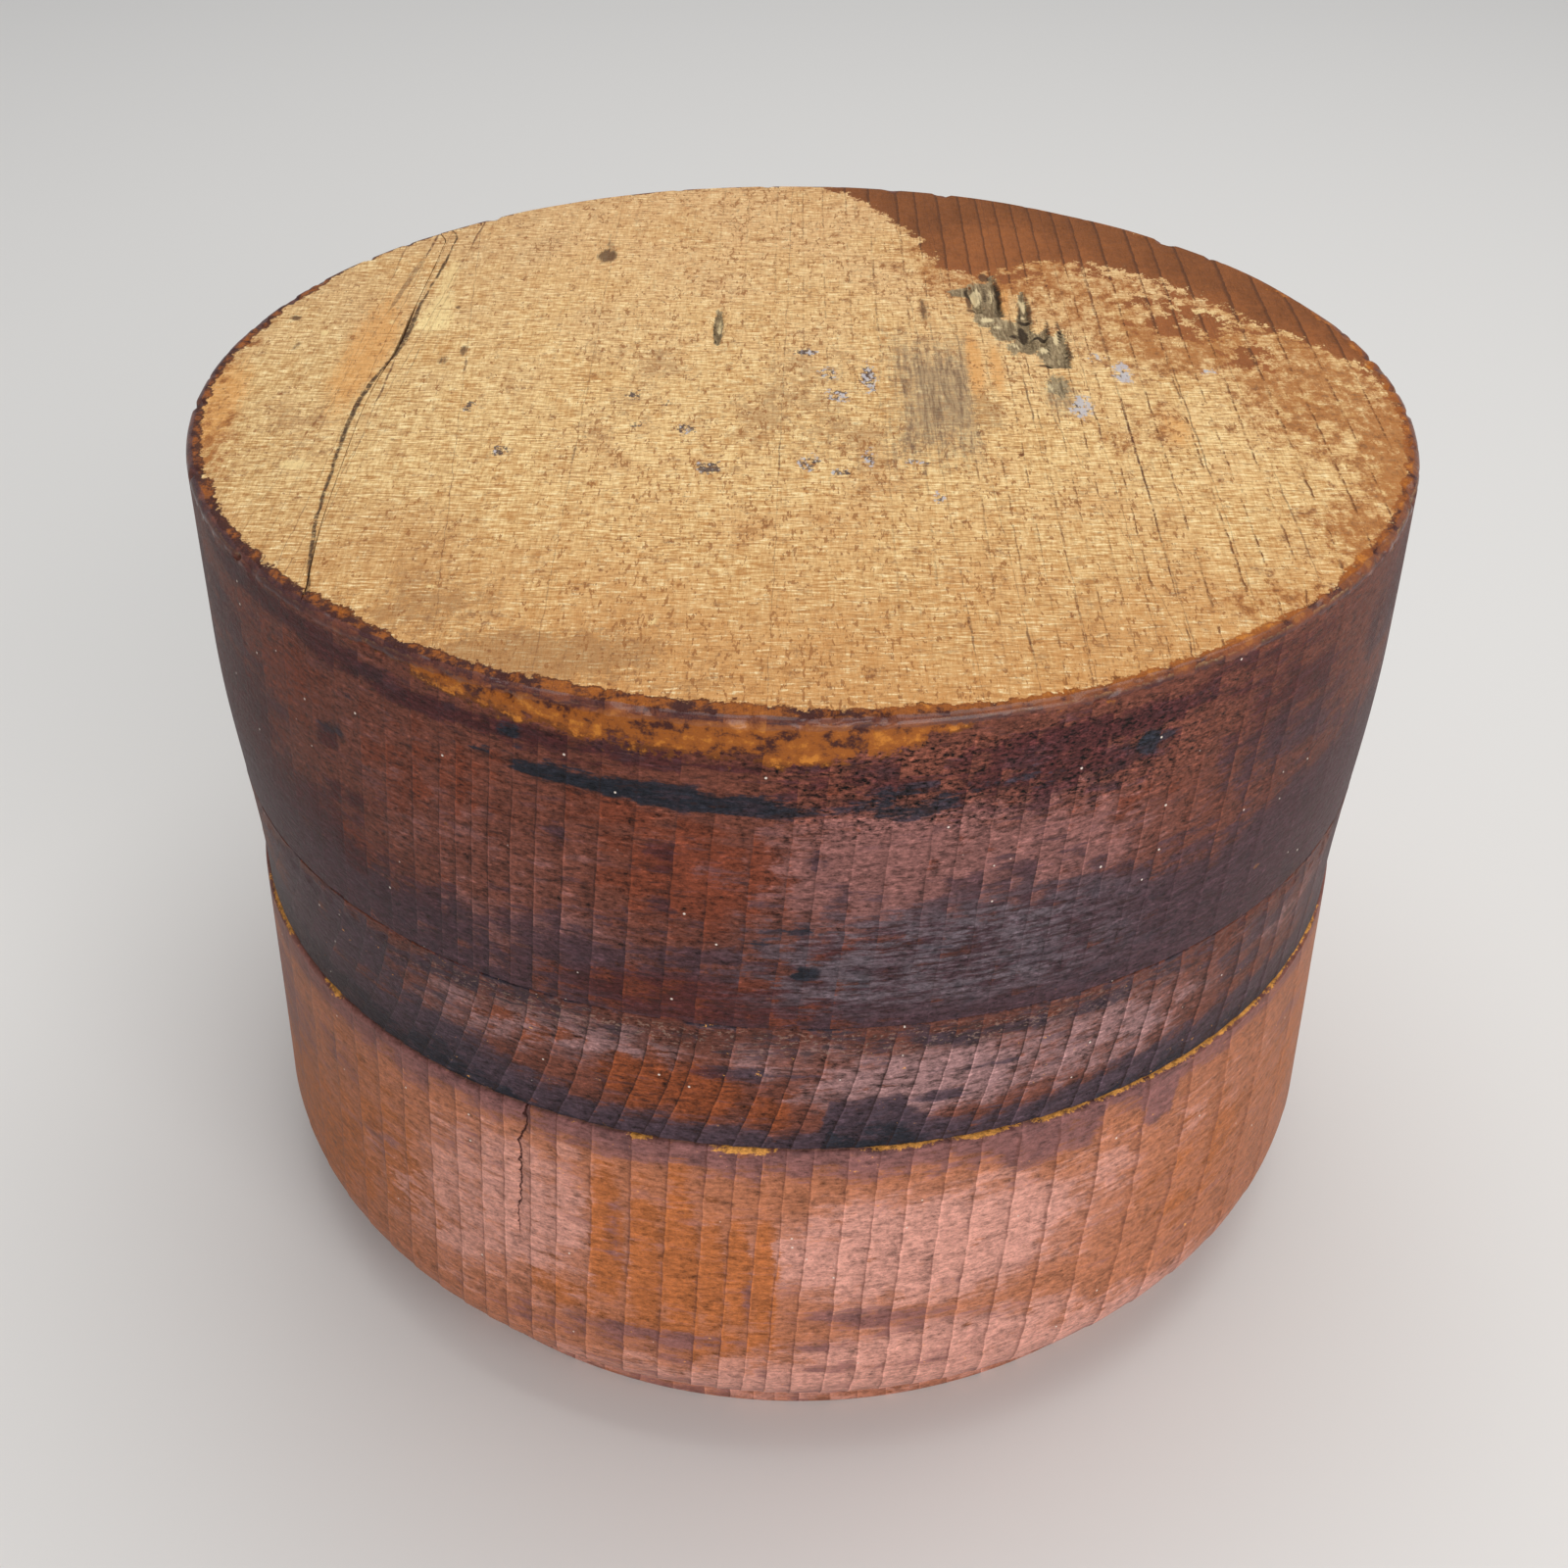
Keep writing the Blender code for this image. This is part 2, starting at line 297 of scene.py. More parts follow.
def lid_radius(z):
    """The lid's outer radius: straight at the top, then drawn in along half a cosine wave."""
    seam = BAND_BOTTOM - (BAND_BOTTOM - BASE_RIM) / 2
    depth_share = (TOP_Z - z) / (TOP_Z - seam)
    eased = np.clip((depth_share - DRAW_IN_SHARE) / (1 - DRAW_IN_SHARE), 0, 1)
    return TOP_RADIUS - LID_DRAW_IN * (0.5 - 0.5 * np.cos(np.pi * eased))


def base_radius(z):
    """The base's outer radius: nearly straight, then a quarter of an ellipse at the bottom."""
    share = np.clip((z - BASE_CURVE_HEIGHT) / (BASE_RIM - BASE_CURVE_HEIGHT), 0, 1)
    straight = BASE_WIDEST + (BASE_RIM_RADIUS - BASE_WIDEST) * share
    drop = np.clip((BASE_CURVE_HEIGHT - z) / BASE_CURVE_HEIGHT, 0, 1)
    curve = BASE_WIDEST - BASE_CURVE_WIDTH * (1 - np.sqrt(1 - drop ** 2))
    return np.where(z >= BASE_CURVE_HEIGHT, straight, curve)


def line(start, stop, step):
    """Points of (radius, z) from start to stop, both included, at most step apart."""
    count = max(1, math.ceil(math.dist(start, stop) / step))
    return np.linspace(start, stop, count + 1)


def arc(centre, radius, first, last, count):
    """Points of (radius, z) on an arc between two angles in degrees, measured from outwards."""
    turn = np.radians(np.linspace(first, last, count + 1))
    return np.stack([centre[0] + radius * np.cos(turn), centre[1] + radius * np.sin(turn)], 1)


def follow(radius_at, z_first, z_last, step):
    """Points of (radius, z) down a side whose radius is a function of z."""
    count = max(1, math.ceil(abs(z_last - z_first) / step))
    z = np.linspace(z_first, z_last, count + 1)
    return np.stack([radius_at(z), z], 1)


def even(count):
    """Column angles in degrees, evenly spread from -180."""
    return np.linspace(-180, 180, count + 1)[:-1]


def dense(first, last, fine, coarse):
    """Column angles in degrees from -180, fine between first and last and coarse elsewhere."""
    parts = (np.arange(-180, first, coarse), np.arange(first, last, fine), np.arange(last, 180, coarse))
    return np.concatenate(parts)


# Meshes of rows round the axis

def join_rows(first, first_angles, second, second_angles):
    """Triangles between two rings of points of unlike count: both rings' columns are sorted round
    the axis, and each next column closes one triangle with the last points of both."""
    turns = [np.append(angles[1:], angles[0] + 360) for angles in (first_angles, second_angles)]
    is_second = np.repeat([0, 1], [len(first), len(second)])
    step = is_second[np.argsort(np.concatenate(turns), kind="stable")]
    a = np.cumsum(1 - step)
    b = np.cumsum(step)
    third = np.where(step == 1, second[b % len(second)], first[a % len(first)])
    faces = np.stack([first[(a - 1 + step) % len(first)], second[(b - step) % len(second)], third], 1)
    return faces[(faces[:, 0] != faces[:, 2]) & (faces[:, 1] != faces[:, 2])]


def turned(zones, closed=False):
    """Points and triangles of a turned surface. A zone is (profile points, column angles), and a
    point is (radius, z); rows run from the top centre outwards and down, then inside and up, which
    turns every face outwards. A row of radius 0 is one point. closed joins the last row to the first.
    x = radius * sin(angle), y = -radius * cos(angle)."""
    points = []
    rows = []
    total = 0
    for profile, angles in zones:
        for radius, z in profile:
            around = angles if radius > 0 else angles[:1]
            turn = np.radians(around)
            ring = np.stack([radius * np.sin(turn), -radius * np.cos(turn), np.full(len(turn), z)], 1)
            points.append(ring)
            rows.append((np.arange(total, total + len(ring)), around))
            total += len(ring)
    if closed:
        rows.append(rows[0])
    faces = [join_rows(*upper, *lower) for upper, lower in zip(rows[:-1], rows[1:])]
    return np.concatenate(points), np.concatenate(faces)


def chain(*runs):
    """One profile from several runs of points, without the repeated point where two runs meet."""
    return np.concatenate([runs[0]] + [run[1:] for run in runs[1:]])


def in_cavity(radius, z):
    """True inside the lid's hollow, whose ceiling meets its wall in a round corner."""
    over_z = max(z - (CEILING - CEILING_CORNER), 0)
    over_radius = max(radius - (CAVITY_RADIUS - CEILING_CORNER), 0)
    if over_z == 0:
        return radius < CAVITY_RADIUS
    return math.hypot(over_radius, over_z) < CEILING_CORNER and radius < CAVITY_RADIUS


def edge_ends(edges):
    """The end points of some edges, each of them once and always in the same order."""
    return list(dict.fromkeys(v for e in edges for v in e.verts))


def fill_cut(bm, rim, x_sign):
    """Closes the flat cut left by a plane square to x. The outline and a grid of points inside it
    are joined by Delaunay triangles, so that the face can bend."""
    bmesh.ops.remove_doubles(bm, verts=edge_ends(rim), dist=WELD_DISTANCE)
    rim = [e for e in bm.edges if e.is_valid and e.is_boundary]
    border = edge_ends(rim)
    number = {v: i for i, v in enumerate(border)}
    flat = [(v.co.y, v.co.z) for v in border]
    for y in np.arange(-TOP_RADIUS, TOP_RADIUS, CUT_SPACING):
        for z in np.arange(BLOCK_BOTTOM, TOP_Z, CUT_SPACING):
            flat.append((y, z))
    edges = [(number[e.verts[0]], number[e.verts[1]]) for e in rim]
    made_points, _, made_faces, origins, _, _ = delaunay_2d_cdt(flat, edges, [], 1, 1e-4, True)
    x = border[0].co.x
    corners = {}
    for i, sources in enumerate(origins):
        old = [o for o in sources if o < len(border)]
        corners[i] = border[old[0]] if old else None
    for face in made_faces:
        middle_y, middle_z = np.mean([made_points[i] for i in face], axis=0)
        middle_radius = math.hypot(x, middle_y)
        solid = middle_radius < lid_radius(middle_z) and not in_cavity(middle_radius, middle_z)
        if not solid:
            continue
        for i in face:
            if corners[i] is None:
                corners[i] = bm.verts.new((x, *made_points[i]))
        loop = [corners[i] for i in face]
        (y0, z0), (y1, z1), (y2, z2) = (made_points[i] for i in face[:3])
        turn = (y1 - y0) * (z2 - z0) - (y2 - y0) * (z1 - z0)
        bm.faces.new(loop if turn * x_sign > 0 else loop[::-1])


def cut_board(mesh, x, keep_right):
    """Keeps one side of the plane at x and closes the cut."""
    bm = bmesh.new()
    bm.from_mesh(mesh)
    geometry = bm.verts[:] + bm.edges[:] + bm.faces[:]
    cut = bmesh.ops.bisect_plane(bm, geom=geometry, dist=1e-5, plane_co=(x, 0, 0), plane_no=(1, 0, 0),
                                 clear_inner=keep_right, clear_outer=not keep_right)
    rim = [g for g in cut["geom_cut"] if isinstance(g, bmesh.types.BMEdge)]
    fill_cut(bm, rim, -1 if keep_right else 1)
    bm.to_mesh(mesh)
    bm.free()


def raw_mesh(name, points, faces):
    """A mesh of triangles, still in millimetres."""
    mesh = bpy.data.meshes.new(name)
    mesh.vertices.add(len(points))
    mesh.vertices.foreach_set("co", points.astype(np.float32).ravel())
    mesh.loops.add(faces.size)
    mesh.loops.foreach_set("vertex_index", faces.astype(np.int32).ravel())
    mesh.polygons.add(len(faces))
    mesh.polygons.foreach_set("loop_start", np.arange(0, faces.size, 3, dtype=np.int32))
    mesh.update(calc_edges=True)
    return mesh


def places(mesh):
    """The mesh's points as an array."""
    flat = np.empty(len(mesh.vertices) * 3, np.float32)
    mesh.vertices.foreach_get("co", flat)
    return flat.reshape(-1, 3).astype(float)


def finish_piece(mesh, moved, fields, material, body, nodes):
    """Writes the moved points in metres and the named fields, and hangs the piece in the frame."""
    mesh.vertices.foreach_set("co", (moved * MM).astype(np.float32).ravel())
    for name, values in fields.items():
        layer = mesh.attributes.new(name, "FLOAT", "POINT")
        layer.data.foreach_set("value", np.asarray(values, np.float32))
    mesh.shade_smooth()
    mesh.set_sharp_from_angle(angle=math.radians(SHARP_ANGLE))
    mesh.materials.append(material)
    piece = bpy.data.objects.new(mesh.name, mesh)
    bpy.context.scene.collection.objects.link(piece)
    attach(piece, body)
    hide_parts(*nodes)
    return piece


def azimuth(points):
    """Degrees round the axis from the front, towards the right."""
    return np.degrees(np.arctan2(points[:, 0], -points[:, 1]))


def push_in(points, depth):
    """Points moved towards the axis by a depth."""
    radius = np.maximum(np.hypot(points[:, 0], points[:, 1]), 1e-6)
    moved = points.copy()
    moved[:, :2] *= (1 - depth / radius)[:, None]
    return moved


def ring_relief(ring, x, y, strength):
    """A saw-tooth step at each ring: level just right of its line, sinking to the next line. It
    shows on end grain, where the surface faces along y, and fades where it faces along x."""
    share = ring - np.floor(ring)
    saw = share * ease(share, 1.0, 0.9)
    facing = np.abs(y) / np.maximum(np.hypot(x, y), 1e-6)
    return strength * saw * (0.25 + 0.75 * ease(facing, 0.2, 0.9))


def hollows(points, seed):
    """Depth of the long hollows that turning and age have left in the side."""
    waviness = bpy.context.scene.turned_box_shape.waviness / MM
    return waviness * (0.5 + 0.5 * noise(points, (34, 34, 20), seed, 2))


def ring_wander(points, seed):
    """How far the growth rings stray to and fro, as a share of their full stray."""
    return noise(points, (14, 60, 22), seed, 2)


def layer_dirt(angle):
    """Where dirt lies in the layer line: mostly round the front."""
    return ease(angle, -55, -20) * ease(angle, 100, 40)


# The lid's upper block: features of the top face, in millimetres from the axis

# Edge of the spilt varnish: degrees clockwise from the back, and radius
SPILL_EDGE = (
    (0, 96), (2, 90), (6, 84), (10, 77), (14, 70), (18, 65), (22, 58), (26, 54), (30, 53), (33, 57),
    (36, 63), (40, 69), (46, 72), (52, 73.5), (58, 74), (64, 75), (70, 77), (75, 81), (82, 86), (95, 90),
    (110, 96), (180, 96), (350, 96))
# Patches of thick varnish, and of thin varnish that has sunk in: centre, half sizes, strength
THICK = (
    (29, 52, 7, 9, 0.6), (36, 46, 7, 6, 0.52), (33, 64, 10, 12, 0.5), (62, 27, 10, 9, 0.62),
    (57, 37, 8, 6, 0.5), (70, 14, 6, 8, 0.52), (50, 50, 8, 8, 0.46))
THIN = (
    (34, 50, 15, 17, 0.8), (50, 34, 14, 16, 0.6), (60, 20, 15, 14, 0.8), (76, 4, 13, 26, 0.75),
    (86, -26, 9, 34, 0.95), (-86, -30, 6, 20, 0.75), (47, -14, 6, 9, 0.4), (76, -44, 9, 13, 0.7),
    (53, -9, 3, 9, 0.4), (-88, 20, 4, 24, 0.5), (34, 60, 12, 10, 0.9), (66, 32, 9, 9, 0.65),
    (62, -62, 12, 6, 0.5))
# Band of stain along the rim: degrees from the front, and width
RIM_WIDTH = (
    (-180, 0.8), (-150, 0.8), (-127, 1.2), (-118, 1.8), (-106, 2.4), (-92, 2.2), (-77, 2.3), (-63, 2.7),
    (-53, 2.8), (-41, 2.4), (-32, 2.6), (-23, 3), (-12, 3.2), (0, 3.2), (13, 2.2), (20, 1.5), (34, 1.5),
    (51, 1.8), (61, 2.2), (73, 2.2), (90, 1.9), (120, 1.1), (150, 0.8))
# Torn pits: tip x, tip y, foot x, foot y, widest
TEARS = (
    (27.2, 42.5, 28.2, 30, 1.7), (31.4, 47, 30.8, 29.3, 2.7), (35.9, 40.5, 34.6, 15.4, 3.0),
    (40.6, 24, 39.1, 9.4, 3.8), (38.8, 26, 37.2, 17.6, 1.5))
# Painted deep shadows, and bright splinters with painted highlights, in the torn area: centre, half sizes,
# strength
TORN_SHADOWS = (
    (26.9, 36, 0.4, 5, 1.3), (27.6, 31, 1.2, 0.6, 1.2), (30.1, 45, 0.9, 1.6, 1.3),
    (32.0, 38, 0.35, 8, 1.3), (29.7, 38, 0.3, 5, 0.9), (31.2, 29.2, 1.2, 0.5, 1.1),
    (36.5, 32, 0.35, 6.5, 1.2), (34.8, 31, 0.3, 4.5, 1.0), (35.4, 27.2, 1.1, 0.7, 1.2),
    (34.8, 22.6, 0.6, 3.2, 1.3), (33.2, 21, 0.8, 0.9, 1), (37.4, 20.6, 1.3, 0.6, 1.2),
    (38.9, 24, 0.3, 3.4, 1.1), (40.5, 24, 0.3, 4.6, 1.1), (38.4, 9.8, 2.4, 0.6, 1.3),
    (41.4, 15, 0.35, 4, 1.1), (38.2, 15.5, 0.3, 2.5, 0.9), (-13.9, 22, 0.3, 6, 0.8))
TORN_GLINTS = (
    (28.3, 37, 0.9, 3.4, 1.2), (30.9, 38, 0.4, 3, 0.9), (35.6, 34, 0.6, 3.4, 1.1),
    (35.3, 29.4, 0.5, 0.6, 1.3), (29.4, 27.5, 1.2, 1.0, 1.1), (30.8, 24.5, 0.8, 0.7, 0.8),
    (39.7, 21, 0.5, 2, 1.1), (37.5, 15.5, 0.6, 1.5, 1.0), (39.6, 13, 0.4, 1.6, 0.8),
    (33.2, 17.5, 1, 1.2, 0.8), (-13.1, 24.5, 0.3, 4, 0.9), (37, 1.5, 0.8, 2.5, 0.7))
# Smooth grey patches between the pits and below them
TORN_FLATS = (
    (29.6, 28, 2.2, 3.8, 1.0), (32.0, 23, 2.3, 4.4, 1.0), (29.4, 37.5, 1.9, 5.4, 1.0),
    (26.0, 38.5, 2.4, 2.2, 0.8), (37.4, 18.6, 2.6, 3.6, 1.0), (38.6, 13.5, 2.3, 4, 0.9),
    (38.4, 2.5, 2.3, 5.5, 0.62), (32.8, 16, 1.5, 3.4, 0.62))
# The slit: centre and half sizes
SLIT = (-13.4, 23.5, 0.75, 7.5)
# Blue-grey specks
INK_SPECKS = (
    (0.5, 13.5, 2.2, 1.2, 1.0), (4, 6, 1.6, 2.2, 0.8), (10, 5, 1.3, 6, 0.9), (9.4, -22, 1.0, 2.6, 0.85),
    (41.3, -5, 1.8, 3.6, 0.95), (48.6, 7.2, 1.4, 4.2, 0.95), (45.2, 13, 1.3, 1.8, 0.7),
    (62, 8, 1.5, 1.5, 0.7), (-13, -26, 1.8, 2, 1.1), (1, -24, 1.4, 2.6, 0.9), (5.5, -27, 1.6, 1, 0.8),
    (-24, -12.5, 1.6, 1.2, 0.8), (-17, -14, 1.6, 1.8, 0.75), (-20, -5.5, 1.2, 1.5, 0.75),
    (-25, -2, 1.2, 2, 0.75), (-49, -7, 0.9, 1.8, 0.8), (-43, -21, 1.2, 1.8, 0.75),
    (16, -23.6, 2.6, 0.8, 0.7), (5, -2, 1.8, 2.4, 0.75), (18.6, -34, 0.8, 1.6, 0.8))
# Brown spots and the dark parts of the knots
KNOTS = (
    (-33, 53, 1.7, 3.2, 1.0), (-33, 57, 0.7, 8, 0.55), (-80.5, 25, 0.9, 1.1, 1.0),
    (-52.3, 13, 0.7, 2, 0.9), (-55, 9.4, 0.8, 1.8, 0.8), (-55.9, 30.3, 0.5, 0.9, 0.9),
    (-78.3, 14, 0.5, 2.4, 0.7), (19.4, 31, 0.6, 5.5, 0.75), (-57, -18, 0.5, 1.2, 0.7))
# Orange fibres, grey-brown grime and paler wood on the top face
ORANGE_TOP = (
    (-67, 12, 4, 24, 0.75), (26.3, 10, 1.3, 12, 1.0), (29.6, 8, 1.2, 9, 0.8), (32.7, 37, 0.9, 7, 1.1),
    (-86, -8, 4, 16, 0.8), (40, 60, 8, 10, 0.5), (54, -12, 3, 7, 0.6))
GRIME = (
    (-34, -76, 13, 6, 0.95), (-46, -66, 10, 8, 0.5), (4, -6, 20, 20, 0.42), (-22, 2, 16, 16, 0.3),
    (-32, -79, 5, 2.5, 1.0), (-74, -20, 9, 14, 0.3), (27, -8, 2.4, 7, 0.8), (19.5, 31, 0.9, 6, 0.7))
PALE_TOP = (
    (-58.8, 28, 2.8, 10, 0.7), (-59.6, 42, 1.8, 10, 0.6), (-70, -26.5, 2.6, 1.6, 1.0),
    (-74.8, 19, 0.7, 1.1, 1.0), (-65.4, 23.5, 0.5, 1.1, 0.9), (-47, -60, 0.6, 0.8, 0.8),
    (-18.5, -68, 0.6, 1, 0.8), (64, 29, 3, 3.5, 0.9))
# The glue line: y, and x
JOINT_PATH = (
    (-66, -62.3), (-60, -62.8), (-45, -63.9), (-30, -64.2), (-10, -64.4), (0, -64.0), (7, -63.3),
    (13, -62.6), (20, -62.5), (33, -62.2), (40, -61.9), (50, -61.5), (66, -61.2))
# The glue line's gap on the top face: y, and millimetres
JOINT_GAP = (
    (-66, 0.22), (-50, 0.16), (-38, 0.1), (-8, 0.12), (5, 0.16), (9, 0.3), (16, 0.55), (24, 0.5),
    (31, 0.16), (44, 0.14), (47, 0.28), (50, 0.12), (66, 0.1))
# Half the width of the dirt along the glue line: y, and millimetres
JOINT_DIRT = (
    (-66, 0.3), (-50, 0.28), (-40, 0.22), (-20, 0.24), (-6, 0.32), (0, 0.34), (8, 0.2), (14, 0.4),
    (22, 0.46), (30, 0.24), (36, 0.12), (44, 0.2), (49, 0.3), (53, 0.1), (66, 0.08))
# The glue line's gap where it is closed
JOINT_CLOSED = 0.04
# Depths of the top face's hollows, its slit, its torn area and its worn rim
TOP_HOLLOWS = 0.12
SLIT_DEPTH = 0.8
TORN_DEPTH = 0.14
RIM_DROP = 0.35
# Cracks in the top face: first and last point, half the width and the strength
CRACKS = (
    (-63.0, 66, -63.6, 50, 0.16, 0.9), (-63.6, 54, -66.5, 26, 0.42, 0.5),
    (-55.2, 74, -56.8, 55, 0.13, 0.8), (-67.5, 60, -68.0, 40, 0.12, 0.55),
    (-62.3, 11, -62.8, -9, 0.14, 0.8), (-58.8, 18, -59.7, 4, 0.1, 0.5), (-51.6, 10, -51.2, 5, 0.16, 0.7),
    (20.5, -64, 20.8, -74, 0.14, 0.7), (27.5, -68, 27.8, -76, 0.12, 0.7),
    (47.1, -1, 47.3, -37, 0.12, 0.85), (47.0, 50, 47.2, 10, 0.09, 0.6), (56.5, 13, 56.8, -34, 0.1, 0.7),
    (65.8, -24, 66.2, -56, 0.09, 0.6), (33.4, 6, 33.7, -13, 0.12, 0.8), (42.8, -4, 42.9, -16, 0.12, 0.8),
    (-32.2, -19, -32.2, -25, 0.13, 0.7), (-3.2, -16, -3.4, -30, 0.1, 0.7),
    (36.6, -8, 37.4, -13, 0.1, 0.6))

# Features of the block's side: degrees from the front, and z
AMBER_FOOT = (
    (-180, 132), (-150, 131.5), (-120, 133), (-95, 132), (-70, 133.6), (-46, 133.6), (-38, 133.4),
    (-33, 132.4), (-28, 130.8), (-18, 129.2), (-12, 129.0), (-4, 128.0), (3, 128.6), (9, 130.6),
    (13, 133.6), (40, 134.4), (60, 134), (80, 133), (110, 133), (150, 132))
# The ink streak: degrees from the front, its lower edge and its upper edge
INK_STREAK = (
    (-27, 123.8, 123.8), (-24.5, 122.4, 124.2), (-20, 121.2, 124.4), (-10, 120.5, 124), (-2, 120.2, 123),
    (3, 120.6, 122.4), (8, 121, 122.2), (20, 121.2, 122.2), (26, 121.7, 121.7))
# Blots of each colour: centre, half sizes, strength
INK_BLOTS = (
    (28, 125, 1.1, 1.6, 1.0), (28, 125, 3.5, 1.0, 0.55), (0.4, 95.7, 1.5, 1.5, 0.8), (8, 122, 6, 3, 0.55),
    (16, 123, 7, 2.5, 0.45), (-23, 127.6, 1.6, 1.2, 0.7), (0, 103, 5, 1.2, 0.5), (-4, 101, 3, 1.0, 0.45),
    (12, 99, 4, 3, 0.4), (-42, 117, 2.2, 1.6, 0.5), (150, 118, 9, 3, 0.7), (-120, 108, 10, 3, 0.6),
    (95, 99, 12, 4, 0.55))
DARK_TOP = (
    (-180, 98), (-130, 104), (-90, 112), (-60, 110), (-45, 105), (-38, 101), (-28, 99), (-20, 103),
    (-8, 104.5), (3, 105.5), (15, 109), (27, 107.5), (36, 103), (45, 108), (60, 110), (90, 112),
    (130, 100))
DARK_SHARE = (
    (-180, 0.7), (-120, 0.9), (-60, 0.95), (-30, 0.8), (-24, 0.62), (-2, 0.6), (6, 0.85), (40, 0.95),
    (90, 0.9), (140, 0.7))
DARK_BLOTS = (
    (-52, 131, 12, 2.2, 0.9), (-40, 129, 6, 2, 0.95), (-32, 127.4, 5, 1.6, 0.95), (45, 118, 9, 12, 0.6),
    (24, 128.5, 12, 2.4, 0.9), (-22, 127.8, 14, 1.6, 0.8), (-6, 128, 12, 1.8, 0.7),
    (-30, 127.8, 5, 1.4, 0.9), (-16, 126.5, 9, 3, 0.5), (4, 124.5, 8, 3.5, 0.55), (20, 124, 11, 6, 0.66),
    (38, 129, 12, 4, 0.5), (-11, 113, 2.2, 2.2, 0.55), (1.5, 114, 1.2, 2.2, 0.6),
    (-19.5, 114, 1, 3, 0.45), (-11, 105, 2, 1.5, 0.55), (-41, 107, 4, 2, 0.6), (-43, 115, 2, 2, 0.6),
    (3, 108, 1.6, 1.2, 0.5), (17, 109, 3, 2, 0.6), (-60, 109, 9, 8, 1.0), (-62, 118, 12, 10, 0.7),
    (-80, 120, 16, 12, 0.8), (70, 122, 14, 9, 0.7), (120, 124, 20, 7, 0.7), (-150, 122, 20, 8, 0.6),
    (-150, 92, 20, 6, 0.7))
WARM_BLOTS = (
    (-64, 114, 13, 13, 0.9), (-8, 111, 7, 8, 0.8), (-12, 118, 8, 3, 0.5), (-52, 122, 10, 8, 0.7),
    (-32, 117, 9, 8, 0.45), (-9, 90, 11, 4.5, 0.9), (-41.5, 98, 2.2, 4.5, 1.0), (-70, 112, 7, 8, 0.6),
    (5, 99.5, 5, 1.2, 0.8), (110, 113, 14, 9, 0.6), (175, 110, 18, 10, 0.5), (-130, 118, 12, 8, 0.6),
    (25, 116, 10, 3, 0.3))
# Pale blots: partly worn varnish and partly a painted sheen
PALE_BLOTS = (
    (-36, 120, 9, 5.5, 0.25), (-31, 112, 8, 8, 0.35), (12, 111, 17, 10, 1.0), (6, 117, 8, 4, 0.8),
    (90, 108, 30, 12, 0.5), (-25, 106, 12, 10, 0.35), (150, 106, 20, 14, 0.5), (-35, 90, 16, 5, 0.5),
    (-22, 96.5, 11, 4.5, 0.75), (-130, 98, 25, 8, 0.4))
RING_BLOTS = (
    (-24, 109, 12, 13, 1.0), (-8, 108, 12, 10, 0.5), (22, 112, 22, 10, 0.5), (30, 98, 18, 10, 0.35),
    (-26, 90, 14, 6, 0.55), (170, 110, 30, 16, 0.8), (-150, 105, 20, 14, 0.6))


def tear_depth(x, y):
    """Depth share of the torn pits: each deepens from its tip to its foot, where it ends in a cliff,
    slopes up gently on its left and steeply on its right."""
    depth = np.zeros_like(x)
    for tip_x, tip_y, foot_x, foot_y, widest in TEARS:
        share = (tip_y - y) / (tip_y - foot_y)
        middle = tip_x + (foot_x - tip_x) * np.clip(share, 0, 1)
        half = 0.5 * (0.4 + (widest - 0.4) * np.clip(share, 0, 1) ** 0.6)
        across = (x - middle) / half
        shape = ease(across, -1.15, 0.1) * ease(across, 1.2, 0.7)
        length = (0.25 + 0.75 * np.clip(share, 0, 1)) * ease(share, 0, 0.1) * ease(share, 1.04, 0.96)
        depth = np.maximum(depth, shape * length)
    return depth


def joint_line(y):
    """x of the glue line on the top face, in smooth bends."""
    return np.mean([along(y + shift, JOINT_PATH) for shift in (-4, -2, 0, 2, 4)], axis=0)


def block_points():
    """Profile zones of the upper block, with finer columns where the torn pits are."""
    settings = bpy.context.scene.turned_box_shape
    around = even(settings.columns)
    pits = dense(100, 152, 0.5, 1.15)
    outer = even(640)
    inner = even(200)
    inside = even(240)
    flat = TOP_RADIUS - ARRIS
    rounded = arc((flat, TOP_Z - ARRIS), ARRIS, 90, 0, 7)
    worn_part = TOP_Z - 8
    foot_radius = lid_radius(BLOCK_BOTTOM)
    side = chain(rounded, follow(lid_radius, TOP_Z - ARRIS, worn_part, 0.8),
                 follow(lid_radius, worn_part, BLOCK_BOTTOM + LAYER_CHAMFER, 1.35),
                 line((foot_radius, BLOCK_BOTTOM + LAYER_CHAMFER),
                      (foot_radius - LAYER_CHAMFER, BLOCK_BOTTOM), 1))
    corner = arc((CAVITY_RADIUS - CEILING_CORNER, CEILING - CEILING_CORNER), CEILING_CORNER, 0, 90, 6)
    wall = chain(line((CAVITY_RADIUS, BLOCK_BOTTOM), (CAVITY_RADIUS, CEILING - CEILING_CORNER), 6),
                 corner, line(corner[-1], (0, CEILING), 12))
    return [(line((0, TOP_Z), (25, TOP_Z), 0.85), inner),
            (line((25.5, TOP_Z), (57, TOP_Z), 0.52), pits),
            (line((58, TOP_Z), (flat - 0.6, TOP_Z), 1.1), outer),
            (side, around),
            (wall, inside)]


